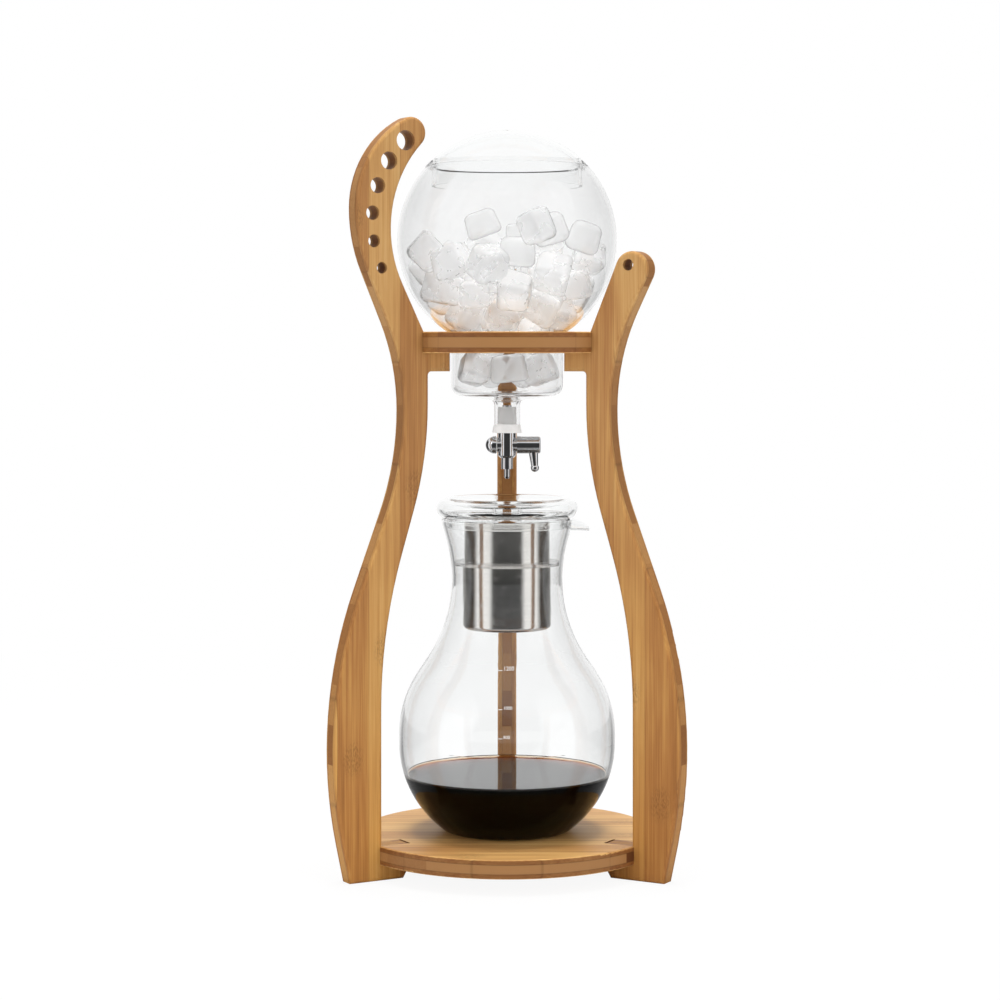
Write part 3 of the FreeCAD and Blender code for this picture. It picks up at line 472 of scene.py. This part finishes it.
@dataclass(frozen=True)
class WettedGlass(Glass):
    """Blown glass whose wall stops shining where coffee wets it from inside."""

    middle: tuple[float, float, float] = (0.0, 0.0, 0.0)
    level: float = 0.0
    waterline: float = 0.05 * MM
    outer_bends: float = 1.20

    def draw(self, net: Net) -> None:
        """Draws the dry wall, and under the coffee's level a wetted and an outer skin."""
        height = net.dot(net.place(), UP)
        under = 1.0 - height.smooth(self.level - self.waterline, self.level + self.waterline)
        turned = net.dot(net.normal(), net.place_from(self.middle)) * net.front()
        outer = turned.smooth(-0.001 * MM, 0.001 * MM)
        film = net.noise(net.place(), 90.0, 2.0)
        skins = [
            net.shader({
                "Base Color": net.mixed(film, (0.99, 0.98, 0.97), WHITE),
                "Roughness": film * 0.01,
                "IOR": bends,
                "Transmission Weight": 1.0,
            })
            for bends in (STRAIGHT_ON, self.outer_bends)
        ]
        wetted = net.either(under, self.wall(net), net.either(outer, *skins))
        net.surface(net.lets_light_in(wetted, self.lamps_through))


@dataclass(frozen=True)
class Silicone(Finish):
    """Milky silicone with a soft bloom."""

    clear: float = 0.35
    gloss: float = 0.30
    lamps_through: float = 0.85

    def draw(self, net: Net) -> None:
        """Draws the milky body and the bloom on it."""
        bloom = net.noise(net.place(), 420.0, 3.0)
        milk = net.shader({
            "Base Color": net.ramp(bloom, [(0.3, (0.94, 0.93, 0.92)), (0.7, (0.98, 0.97, 0.96))]),
            "Roughness": self.gloss + bloom * 0.16,
            "IOR": 1.30,
            "Transmission Weight": self.clear,
            "Normal": net.bump(bloom, 0.12, 0.2 * MM),
        })
        net.surface(net.lets_light_in(milk, self.lamps_through))


@dataclass(frozen=True)
class Chrome(Finish):
    """Polished chrome with a few hair scratches and wiping marks."""

    def draw(self, net: Net) -> None:
        """Draws the polish, the scratches and the wiping marks."""
        place = net.place()
        wiped = net.noise(place, 260.0, 3.0)
        across, up = net.dot(place, Vector((1.0, 1.0, 0.0))), net.dot(place, UP)
        scratches = net.noise(net.vector(across * 5200.0, up * 420.0, 0.0), detail=1.0)
        hair = scratches.smooth(0.62, 0.8)
        net.surface(net.shader({
            "Base Color": net.ramp(wiped, [(0.3, (0.74, 0.75, 0.77)), (0.7, (0.86, 0.86, 0.87))]),
            "Metallic": 1.0,
            "Roughness": 0.045 + wiped * 0.06 + hair * 0.12,
            "Normal": net.bump(hair, 0.05, 0.05 * MM),
        }))


@dataclass(frozen=True)
class Steel(Finish):
    """Stainless steel, brushed round the can."""

    axis: tuple[float, float, float]
    # Painted shade where below 1: scales the steel's colour down.
    shade: float = 1.0

    def draw(self, net: Net) -> None:
        """Draws the brush lines round the axis and a few handling marks."""
        place = net.place_from(self.axis)
        east, north, up = (net.dot(place, way) for way in (EAST, NORTH, UP))
        lines = net.noise(net.vector(east * 30.0, north * 30.0, up * 9000.0), detail=2.0)
        bands = net.noise(net.vector(east * 12.0, north * 12.0, up * 900.0), detail=2.0)
        marks = net.noise(place, 140.0, 2.0).smooth(0.5, 0.8)
        steel = net.ramp(
            lines * 0.7 + bands * 0.3, [(0.3, (0.80, 0.78, 0.75)), (0.7, (0.92, 0.90, 0.87))]
        )
        net.surface(net.shader({
            "Base Color": net.scaled(steel, self.shade),
            "Metallic": 1.0,
            "Roughness": 0.08 + lines * 0.10 + marks * 0.08,
            "Anisotropic": 0.30,
            "Normal": net.bump(lines, 0.10, 0.04 * MM),
        }))


@dataclass(frozen=True)
class Moulded(Finish):
    """A small moulded piece, such as a seal or a washer."""

    colour: Colour
    roughness: float

    def draw(self, net: Net) -> None:
        """Draws the moulded skin with its fine grain."""
        grain = net.noise(net.place(), 2200.0, 3.0)
        darker = tuple(part * 0.6 for part in self.colour)
        net.surface(net.shader({
            "Base Color": net.mixed(grain * 0.35, self.colour, darker),
            "Roughness": self.roughness + (grain - 0.5) * 0.2,
            "Normal": net.bump(grain, 0.15, 0.05 * MM),
        }))


@dataclass(frozen=True)
class Ice(Finish):
    """Melting ice: wet skin, frosted patches and painted shade that greys the outlines."""

    painted_outline: float = 0.74
    haze: float = 0.26
    edge: float = 0.32
    lamps_through: float = 0.98

    def draw(self, net: Net) -> None:
        """Draws the wet skin, the frost and painted shade on the edges that turn away."""
        place = net.place()
        frost = net.noise(place, 95.0, 4.0).smooth(0.42, 0.78)
        melt = net.noise(place, 120.0, 1.0)
        facing = net.node("ShaderNodeLayerWeight", {}, {"Blend": 0.35}, "Facing")
        skin = net.mixed(frost, (0.970, 0.972, 0.974), (0.985, 0.985, 0.985))
        # Painted shade: the colour turns grey on the edges that turn away from the view.
        skin = net.mixed(facing.smooth(self.edge, 0.90), skin, grey(self.painted_outline))
        ice = net.shader({
            "Base Color": skin,
            "Roughness": self.haze + frost * 0.16,
            "IOR": 1.09,
            "Transmission Weight": 0.60,
            "Normal": net.bump(melt, 0.18, 0.6 * MM),
        })
        net.surface(net.lets_light_in(ice, self.lamps_through))


@dataclass(frozen=True)
class Coffee(Finish):
    """Cold brew: amber where it is thin, almost black where it is deep."""

    def draw(self, net: Net) -> None:
        """Draws the still surface and the tint inside it."""
        oils = net.noise(net.place(), 60.0, 3.0)
        tint = net.node(
            "ShaderNodeVolumeAbsorption", {}, {"Color": (0.80, 0.53, 0.13), "Density": 780.0}
        )
        top = net.shader({
            "Base Color": net.mixed(oils, (0.96, 0.93, 0.90), (0.99, 0.98, 0.96)),
            "Roughness": oils * 0.03,
            "IOR": 1.42,
            "Transmission Weight": 1.0,
            "Normal": net.bump(oils, 0.03, 0.5 * MM),
        })
        side = net.shader({
            "Base Color": net.mixed(oils, (0.97, 0.96, 0.95), WHITE),
            "Roughness": 0.0,
            "IOR": STRAIGHT_ON,
            "Transmission Weight": 1.0,
        })
        faces_up = net.dot(net.normal(), UP) * net.front()
        net.surface(net.either(faces_up.smooth(0.2, 0.5), side, top), tint)


@dataclass(frozen=True)
class Print(Finish):
    """White ink, fired on the glass."""

    def draw(self, net: Net) -> None:
        """Draws the ink, a little worn."""
        worn = net.noise(net.place(), 1800.0, 3.0)
        net.surface(net.shader({
            "Base Color": net.ramp(worn, [(0.25, (0.78, 0.76, 0.72)), (0.6, (0.95, 0.94, 0.92))]),
            "Roughness": 0.42 + worn * 0.15,
            "Normal": net.bump(worn, 0.1, 0.03 * MM),
        }))


# --- Shapes ------------------------------------------------------------------------------------


def add_piece(name: str, mesh: bpy.types.Mesh, finish: Finish, body: str) -> None:
    """Puts a finished piece on a body.

    Args:
        name: the piece's name.
        mesh: its mesh, in the model's frame.
        finish: what it is made of.
        body: the body that it rides on.
    """
    mesh.name = name
    mesh.materials.append(finish.material())
    piece = bpy.data.objects.new(name, mesh)
    bpy.context.scene.collection.objects.link(piece)
    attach(piece, body)
    log.info("%s: %d faces, rides on %s", name, len(mesh.polygons), body)


def arc(
    centre: tuple[float, float], radius: float, start: float, end: float, steps: int
) -> list[tuple[float, float]]:
    """Points on an arc.

    Args:
        centre: its centre, in mm.
        radius: its radius, in mm.
        start: direction of the first point, in degrees.
        end: direction of the last point, in degrees.
        steps: how many runs it is made of.

    Returns:
        The points, both ends included.
    """
    turns = np.radians(np.linspace(start, end, steps + 1))
    return [(centre[0] + radius * math.cos(t), centre[1] + radius * math.sin(t)) for t in turns]


def turned_mesh(profile: list[tuple[float, float]], axis: Vector, segments: int) -> bpy.types.Mesh:
    """Turns a profile from axis to axis into a closed, smooth mesh.

    Args:
        profile: radius and height of each point, in mm. The first and last are on the axis.
        axis: a point on the axis, in metres.
        segments: how many faces go round.

    Returns:
        The mesh.
    """
    form = bmesh.new()
    ends = [form.verts.new(axis + Vector((0, 0, z * MM))) for _, z in (profile[0], profile[-1])]
    turns = np.linspace(0.0, math.tau, segments, endpoint=False)
    rings = []
    for radius, height in profile[1:-1]:
        spots = (Vector((radius * math.cos(t), radius * math.sin(t), height)) for t in turns)
        rings.append([form.verts.new(axis + spot * MM) for spot in spots])
    for index in range(segments):
        after = (index + 1) % segments
        form.faces.new((ends[0], rings[0][after], rings[0][index]))
        form.faces.new((ends[1], rings[-1][index], rings[-1][after]))
        for low, high in zip(rings, rings[1:]):
            form.faces.new((low[index], low[after], high[after], high[index]))
    bmesh.ops.recalc_face_normals(form, faces=form.faces)
    return finished_mesh(form)


def finished_mesh(form: bmesh.types.BMesh) -> bpy.types.Mesh:
    """Turns a bmesh into a mesh with smooth shading, and frees it."""
    for face in form.faces:
        face.smooth = True
    mesh = bpy.data.meshes.new("mesh")
    form.to_mesh(mesh)
    form.free()
    return mesh


# --- Sub-assemblies ----------------------------------------------------------------------------


@dataclass
class SubAssembly:
    """A group of the model's nodes that are dressed together, about the tower's axis."""

    axis: Vector

    def dress(self, finish: Finish, *nodes: str) -> None:
        """Gives the model's nodes one finish."""
        material = finish.material()
        for node in nodes:
            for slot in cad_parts[node].material_slots:
                slot.material = material
            log.info("%s: dressed in %s", node, finish.name)

    def build(self) -> None:
        """Dresses the nodes and adds what the model leaves out."""
        raise NotImplementedError


@dataclass
class WoodFrame(SubAssembly):
    """Three legs, the base disc and the ring plate, all of bamboo ply."""

    headings: dict[str, float] = field(
        default_factory=lambda: {"tall_leg": 210.0, "right_leg": 330.0, "back_leg": 90.0}
    )

    def build(self) -> None:
        """Dresses each board along its own grain."""
        for leg, heading in self.headings.items():
            finish = Bamboo("bamboo_" + leg, Grain.UPRIGHT, tuple(self.axis), heading)
            if leg == "tall_leg":
                finish = replace(finish, foot_tint=(1.14, 1.04, 0.74), contrast=0.42)
            else:
                finish = replace(finish, knuckle_at=50.0 * MM)
            self.dress(finish, leg)
        for plate, core in (("base_disc", 2.9), ("ring_plate", 3.4)):
            low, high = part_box(plate)
            centre = (self.axis.x, self.axis.y, (low.z + high.z) / 2)
            # The plates get strong painted light on their broad faces and painted shade on their
            # cut edges.
            finish = Bamboo(
                "bamboo_" + plate, Grain.LEVEL, centre, 0.0, core * MM,
                contrast=0.16, blocks=1.5, face_painted_light=(1.42, 1.56, 1.66),
                edge_painted_shade=(0.56, 0.45, 0.37),
            )
            self.dress(finish, plate)


@dataclass(frozen=True)
class FrontCube:
    """An ice cube whose place is listed: its middle and its sizes in mm, and its rise to +X."""

    place: tuple[float, float, float]
    sizes: tuple[float, float, float]
    rise: float


@dataclass
class WaterGlobe(SubAssembly):
    """The glass globe with its lid, and the ice in it."""

    ball: float = 69.3
    shank: float = 34.3
    shank_floor: float = 310.0
    mouth_above_centre: float = 48.0
    cubes: int = 50
    cube_edge: float = 22.5
    cube_length: tuple[float, float] = (0.92, 1.08)
    cube_width: tuple[float, float] = (0.86, 1.0)
    cube_height: tuple[float, float] = (0.78, 0.92)
    taper: tuple[float, float] = (0.82, 0.92)
    melted: tuple[float, float] = (0.16, 0.26)
    lump: float = 0.56
    spread: tuple[float, float, float] = (48.0, 48.0, 40.0)
    sinking_steps: int = 560
    resting_steps: int = 140
    sink: float = 0.5
    give: float = 0.32
    seed: int = 11
    front_cubes: tuple[FrontCube, ...] = (
        FrontCube((-16.0, -30.0, 415.6), (23.0, 20.0, 16.5), 20.0),
        FrontCube((7.0, -20.0, 411.7), (16.0, 16.0, 9.0), 4.0),
        FrontCube((27.2, -30.0, 412.3), (23.5, 20.0, 20.0), 16.0),
        FrontCube((6.4, -37.0, 397.6), (25.0, 18.0, 19.0), -5.0),
        FrontCube((50.0, -8.0, 408.0), (23.0, 20.0, 20.0), -20.0),
        FrontCube((1.0, -17.0, 323.0), (25.0, 16.0, 18.0), 6.0),
    )

    def build(self) -> None:
        """Dresses the glass and fills it with ice."""
        self.dress(Glass("globe_glass", bends=1.32, tint=(0.955, 0.957, 0.957)), "water_globe")
        self.dress(Glass("globe_lid_glass", bends=1.14), "globe_lid")
        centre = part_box("water_globe")[1].z / MM - self.mouth_above_centre
        rng = np.random.default_rng(self.seed)
        fixed = [cube.place for cube in self.front_cubes]
        pile = bmesh.new()
        for spot in self.settled(rng, centre, np.array(fixed))[len(fixed):]:
            axis, turn = Vector(rng.normal(size=3)).normalized(), rng.uniform(0.0, math.tau)
            edge = self.cube_edge * rng.uniform(*self.cube_length)
            width = edge * rng.uniform(*self.cube_width)
            height = edge * rng.uniform(*self.cube_height)
            sizes = (edge, width, height)
            self.add_cube(pile, rng, Vector(spot), sizes, Matrix.Rotation(turn, 4, axis))
        front = bmesh.new()
        for cube in self.front_cubes:
            tilt = Matrix.Rotation(math.radians(-cube.rise), 4, "Y")
            self.add_cube(front, rng, Vector(cube.place), cube.sizes, tilt)
        for form in (pile, front):
            form.transform(Matrix.Translation(self.axis))
        add_piece("ice_pile", finished_mesh(pile), Ice("hazy_ice"), "globe")
        # The front cubes get darker painted shade on their outlines.
        clear = Ice("clear_ice", painted_outline=0.36, haze=0.14, edge=0.12)
        add_piece("ice_in_front", finished_mesh(front), clear, "globe")

    def settled(
        self, rng: np.random.Generator, centre: float, fixed: np.ndarray
    ) -> np.ndarray:
        """Lets round lumps sink into the globe until they rest on each other.

        Args:
            rng: where the starting places come from.
            centre: height of the ball's centre, in mm.
            fixed: places of cubes that stay where they are.

        Returns:
            One place for each cube, in mm about the tower's axis, the fixed ones first.
        """
        reach = self.cube_edge * self.lump
        spots = rng.uniform(-1.0, 1.0, (self.cubes, 3)) * self.spread + (0.0, 0.0, centre)
        room, shaft = self.ball - reach, self.shank - reach
        not_itself = np.eye(self.cubes) * 1e6
        for step in range(self.sinking_steps + self.resting_steps):
            spots[:, 2] -= self.sink if step < self.sinking_steps else 0.0
            for _ in range(3):
                gap = spots[:, None] - spots[None]
                far = np.linalg.norm(gap, axis=2) + not_itself
                push = np.clip(2 * reach - far, 0.0, None)[:, :, None] * gap / far[:, :, None]
                spots += push.sum(axis=1) * self.give
                spots = self.kept_inside(spots, centre, room, shaft, reach)
                spots[: len(fixed)] = fixed
        return spots

    def kept_inside(
        self, spots: np.ndarray, centre: float, room: float, shaft: float, reach: float
    ) -> np.ndarray:
        """Moves places outside the ball and the shank back to the nearer of the two.

        Args:
            spots: the places, in mm.
            centre: height of the ball's centre.
            room: how far from that centre a place may be.
            shaft: how far from the axis a place in the shank may be.
            reach: how far above the shank's floor it has to be.

        Returns:
            The places, all inside.
        """
        middle, tiny = np.array((0.0, 0.0, centre)), 1e-6
        out = spots - middle
        far = np.linalg.norm(out, axis=1, keepdims=True)
        in_ball = middle + out * np.minimum(1.0, room / np.maximum(far, tiny))
        wide = np.linalg.norm(spots[:, :2], axis=1, keepdims=True)
        in_shank = spots.copy()
        in_shank[:, :2] *= np.minimum(1.0, shaft / np.maximum(wide, tiny))
        in_shank[:, 2] = np.clip(spots[:, 2], self.shank_floor + reach, centre)
        ball_is_nearer = (
            np.linalg.norm(in_ball - spots, axis=1) <= np.linalg.norm(in_shank - spots, axis=1)
        )
        return np.where(ball_is_nearer[:, None], in_ball, in_shank)

    def add_cube(
        self,
        form: bmesh.types.BMesh,
        rng: np.random.Generator,
        spot: Vector,
        sizes: tuple[float, float, float],
        lie: Matrix,
    ) -> None:
        """Adds one tray-frozen cube, tapered, and rounded by melting.

        Args:
            form: the mesh that it is added to.
            rng: where its taper and its rounding come from.
            spot: its middle, in mm about the tower's axis.
            sizes: its three sizes, in mm.
            lie: how it is turned.
        """
        cube = bmesh.new()
        bmesh.ops.create_cube(cube, size=1.0)
        top = max(cube.faces, key=lambda face: face.normal.z)
        taper = rng.uniform(*self.taper)
        for vert in top.verts:
            vert.co.xy *= taper
        bmesh.ops.bevel(
            cube, geom=cube.edges[:], offset=rng.uniform(*self.melted), segments=6, profile=0.5,
            affect="EDGES", clamp_overlap=True,
        )
        scale = Matrix.Diagonal((*(size * MM for size in sizes), 1.0))
        cube.transform(Matrix.Translation(spot * MM) @ lie @ scale)
        bmesh.ops.recalc_face_normals(cube, faces=cube.faces)
        melted = bpy.data.meshes.new("cube")
        cube.to_mesh(melted)
        cube.free()
        form.from_mesh(melted)
        bpy.data.meshes.remove(melted)


@dataclass
class DripTap(SubAssembly):
    """The stopper under the globe, the tap in it and the nozzle."""

    def build(self) -> None:
        """Dresses the chromed pieces, the stopper and the seals."""
        self.dress(Silicone("milky_silicone"), "neck_stopper")
        chrome = Chrome("polished_chrome")
        self.dress(chrome, "tap_body", "tap_cock", "cock_cap", "tap_lever", "drip_nozzle")
        self.dress(Moulded("black_seal", (0.030, 0.030, 0.032), 0.55), "cock_seals", "nozzle_seal")
        self.dress(Moulded("white_nylon", (0.82, 0.82, 0.80), 0.40), "cock_washer")


@dataclass
class Carafe(SubAssembly):
    """The glass carafe with its lid, the coffee in it and the printed scale."""

    base: float = 22.3
    wall: float = 2.2
    belly: float = 70.4
    heel: float = 36.7
    heel_curve: float = 10.0
    coffee_level: float = 59.0
    overlap: float = 0.12
    meniscus: float = 1.3
    meniscus_reach: float = 1.1
    meniscus_points: tuple[float, ...] = (0.25, 0.5, 0.9, 1.5, 2.4, 4.0, 7.0)
    coffee_segments: int = 192
    marks: tuple[tuple[float, str, float], ...] = (
        (132.7, "1200", 3.4), (109.9, "1000", 2.8), (92.3, "800", 2.8),
    )
    scale_left: float = -5.5
    tick: float = 2.6
    tick_width: float = 0.35
    tick_gap: float = 0.6
    ink: float = 0.05

    def build(self) -> None:
        """Dresses the glass, pours the coffee and prints the scale."""
        middle = (self.axis.x, self.axis.y, (self.base + self.belly) * MM)
        level = self.coffee_level * MM
        self.dress(WettedGlass("carafe_glass", middle=middle, level=level), "carafe")
        self.dress(Glass("lid_glass", bends=1.22), "carafe_lid")
        self.pour()
        self.print_scale()

    def pour(self) -> None:
        """Fills the carafe with coffee, which wets the wall a little way up."""
        inner = self.belly - self.wall + self.overlap
        curve = self.heel_curve - self.wall + self.overlap
        centre = (self.heel, self.base + self.heel_curve)
        rise = math.sqrt((self.belly - self.heel_curve) ** 2 - self.heel**2)
        belly_level = centre[1] + rise
        joint = math.degrees(math.atan2(-rise, self.heel))
        edge_level = self.coffee_level + self.meniscus
        edge = math.degrees(math.asin((edge_level - belly_level) / inner))
        rim = inner * math.cos(math.radians(edge))
        profile = [(0.0, centre[1] - curve)] + arc(centre, curve, -90.0, joint, steps=8)
        profile += arc((0.0, belly_level), inner, joint, edge, steps=40)[1:]
        for inward in self.meniscus_points:
            height = self.coffee_level + self.meniscus * math.exp(-inward / self.meniscus_reach)
            profile.append((rim - inward, height))
        profile += [(rim / 2, self.coffee_level), (0.0, self.coffee_level)]
        mesh = turned_mesh(profile, self.axis, self.coffee_segments)
        add_piece("coffee", mesh, Coffee("cold_brew"), "jug")

    def print_scale(self) -> None:
        """Prints ticks and plain numbers on the front of the glass."""
        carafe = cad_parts["carafe"].data
        glass = BVHTree.FromPolygons(
            [vert.co for vert in carafe.vertices], [face.vertices[:] for face in carafe.polygons]
        )
        form = bmesh.new()
        for level, words, height in self.marks:
            self.add_mark(form, level, words, height)
        for vert in form.verts:
            across, up, depth = vert.co
            start = self.axis + Vector((across, -2 * self.belly, up)) * MM
            spot, normal, _, _ = glass.ray_cast(start, NORTH)
            vert.co = spot + normal * (depth + self.ink) * MM
        bmesh.ops.remove_doubles(form, verts=form.verts, dist=1e-7)
        mesh = bpy.data.meshes.new("scale")
        form.to_mesh(mesh)
        form.free()
        add_piece("printed_scale", mesh, Print("white_ink"), "jug")

    def add_mark(self, form: bmesh.types.BMesh, level: float, words: str, height: float) -> None:
        """Adds one flat mark, a tick with its number, before it is laid on the glass.

        Args:
            form: the mesh that it is added to, in mm: across, up, and out from the glass.
            level: how high the mark is.
            words: its number.
            height: the number's size.
        """
        text = bpy.data.curves.new("words", "FONT")
        text.body, text.size, text.extrude = words, height, self.ink / 2
        holder = bpy.data.objects.new("words", text)
        words_mesh = bpy.data.meshes.new_from_object(holder)
        words_left = self.scale_left + self.tick + self.tick_gap
        words_mesh.transform(Matrix.Translation((words_left, level, 0.0)))
        form.from_mesh(words_mesh)
        bpy.data.objects.remove(holder)
        bpy.data.curves.remove(text)
        bpy.data.meshes.remove(words_mesh)
        for vert in bmesh.ops.create_cube(form, size=1.0)["verts"]:
            vert.co *= Vector((self.tick, self.tick_width, self.ink))
            vert.co += Vector((self.scale_left + self.tick / 2, level, 0.0))


@dataclass
class Filter(SubAssembly):
    """The steel filter can with its screen, its spreader and its ring."""

    def build(self) -> None:
        """Dresses the steel pieces and the clear ring that hangs the can in the neck."""
        self.dress(Silicone("clear_silicone", clear=0.95, gloss=0.05), "support_ring")
        steel = Steel("brushed_steel", tuple(self.axis))
        self.dress(steel, "filter_can", "filter_screen")
        # Painted shade: the spreader sits deep in the can, so its steel is darkened.
        self.dress(replace(steel, name="spreader_painted_shade", shade=0.25), "water_spreader")


# --- Studio ------------------------------------------------------------------------------------


@dataclass(frozen=True)
class Lamp:
    """A round softbox: its place and its width in metres, and its power."""

    name: str
    place: tuple[float, float, float]
    across: float
    watts: float


@dataclass
class Studio:
    """Camera, pale floor, white surroundings and three soft lamps, in metres.

    The windows are round brighter patches of the surroundings, where the two side lamps stand.
    """

    axis: Vector
    distance: float = 1.63
    eye_level: float = 0.340
    lens: float = 90.0
    shift: tuple[float, float] = (-0.007, -0.158)
    aim: tuple[float, float, float] = (0.0, 0.0, 0.24)
    fill: float = 0.58
    thinnest: float = 0.86
    window: float = 1.5
    window_fade: tuple[float, float] = (0.94, 0.99)
    bounces: int = 28
    glossy_bounces: int = 20
    walls_to_mirror: float = 4.0
    floor_reach: float = 2.5
    floor_paint: float = 0.86
    mirrored_paint: float = 0.34
    floor_glow: float = 0.92
    glow_fade: tuple[float, float] = (0.35, 1.2)
    mirrored_fade: tuple[float, float] = (0.15, 0.5)
    lamps: tuple[Lamp, ...] = (
        Lamp("left_softbox", (-1.7, -1.5, 1.0), 1.8, 13.5),
        Lamp("right_softbox", (1.8, -1.3, 1.2), 1.8, 14.0),
        Lamp("top_softbox", (0.0, 0.1, 2.2), 0.9, 36.0),
    )

    def build(self) -> None:
        """Sets up the camera, the lamps, the surroundings and the floor."""
        scene = bpy.context.scene
        scene.view_settings.view_transform = "Standard"
        scene.cycles.max_bounces = scene.cycles.transmission_bounces = self.bounces
        scene.cycles.transparent_max_bounces = self.bounces
        scene.cycles.glossy_bounces = self.glossy_bounces
        lens = bpy.data.cameras.new("camera")
        lens.lens, (lens.shift_x, lens.shift_y) = self.lens, self.shift
        camera = self.placed("camera", lens, (0.0, self.axis.y - self.distance, self.eye_level))
        camera.rotation_euler = (math.pi / 2, 0.0, 0.0)
        scene.camera = camera
        for lamp in self.lamps:
            light = bpy.data.lights.new(lamp.name, "AREA")
            light.shape, light.size, light.energy = "DISK", lamp.across, lamp.watts
            softbox = self.placed(lamp.name, light, lamp.place)
            softbox.visible_glossy = softbox.visible_transmission = False
            towards = Vector(self.aim) - softbox.location
            softbox.rotation_euler = towards.to_track_quat("-Z", "Y").to_euler()
        self.build_surroundings()
        self.build_floor()

    @staticmethod
    def placed(
        name: str, data: bpy.types.ID, place: tuple[float, float, float]
    ) -> bpy.types.Object:
        """Adds an object at a place."""
        made = bpy.data.objects.new(name, data)
        made.location = place
        bpy.context.scene.collection.objects.link(made)
        return made

    def build_surroundings(self) -> None:
        """White all round, with darker stretches that only polish and glass pick up."""
        world = bpy.data.worlds.new("studio")
        bpy.context.scene.world = world
        net = Net(world)
        way = net.node("ShaderNodeTexCoord", out="Generated")
        up = net.dot(way, UP)
        mirrored = net.mixed(abs(up).smooth(0.35, 0.70), net.stretches(way), WHITE)
        for lamp in self.lamps[:2]:
            towards = Vector(lamp.place).normalized()
            window = net.dot(way, towards).smooth(*self.window_fade)
            mirrored = net.mixed(window, mirrored, grey(self.window))
        side = abs(net.dot(way, EAST))
        seen_through = net.ramp(side, [(0.0, WHITE), (0.55, WHITE), (0.95, grey(self.thinnest))])
        fill = grey(self.fill)
        colour = net.mixed(net.ray("Is Camera Ray"), fill, WHITE)
        colour = net.mixed(net.ray("Is Glossy Ray"), colour, mirrored)
        through = net.mixed(net.ray("Diffuse Depth").smooth(0.4, 0.6), seen_through, fill)
        walls = abs(net.ray("Transmission Depth") - self.walls_to_mirror).smooth(0.6, 0.4)
        mirror_inside = walls * net.ray("Glossy Depth").smooth(0.4, 0.6)
        through = net.mixed(mirror_inside, through, mirrored)
        colour = net.mixed(net.ray("Is Transmission Ray"), colour, through)
        light = net.node("ShaderNodeBackground", {}, {"Color": colour})
        net.node("ShaderNodeOutputWorld", {}, {"Surface": light})

    def build_floor(self) -> None:
        """A pale floor that looks white and keeps the tower's soft shadow."""
        form = bmesh.new()
        bmesh.ops.create_circle(form, cap_ends=True, segments=96, radius=self.floor_reach)
        mesh = finished_mesh(form)
        paint = bpy.data.materials.new("pale_floor")
        net = Net(paint)
        from_tower = net.place_from(self.axis)
        reach = net.length(from_tower)
        mirrored = net.ray("Glossy Depth").smooth(0.4, 0.6)
        through = net.ray("Is Transmission Ray")
        seen = (net.ray("Is Camera Ray") + through).smooth(0.0, 1.0) * (1.0 - mirrored)
        pale = net.mixed(mirrored, grey(self.floor_paint), grey(self.mirrored_paint))
        matt = net.node("ShaderNodeBsdfDiffuse", {}, {"Color": pale})
        glow = net.mixed(mirrored, WHITE, net.stretches(from_tower))
        white = net.node("ShaderNodeEmission", {}, {"Color": glow})
        rest = 1.0 - self.floor_glow
        share = seen * (self.floor_glow + reach.smooth(*self.glow_fade) * rest)
        share = share + mirrored * reach.smooth(*self.mirrored_fade)
        both = net.either(share, matt, white)
        net.node("ShaderNodeOutputMaterial", {}, {"Surface": both})
        mesh.materials.append(paint)
        self.placed("floor", mesh, (0.0, 0.0, 0.0))


def tower_axis() -> Vector:
    """Returns the point where the tower's axis meets the floor."""
    low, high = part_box("water_globe")
    return Vector(((low.x + high.x) / 2, (low.y + high.y) / 2, 0.0))


def main() -> None:
    """Builds the studio and every sub-assembly."""
    axis = tower_axis()
    Studio(axis).build()
    for part in (WoodFrame, WaterGlobe, DripTap, Carafe, Filter):
        log.info("building %s", part.__name__)
        part(axis).build()


if __name__ == "__main__":
    main()
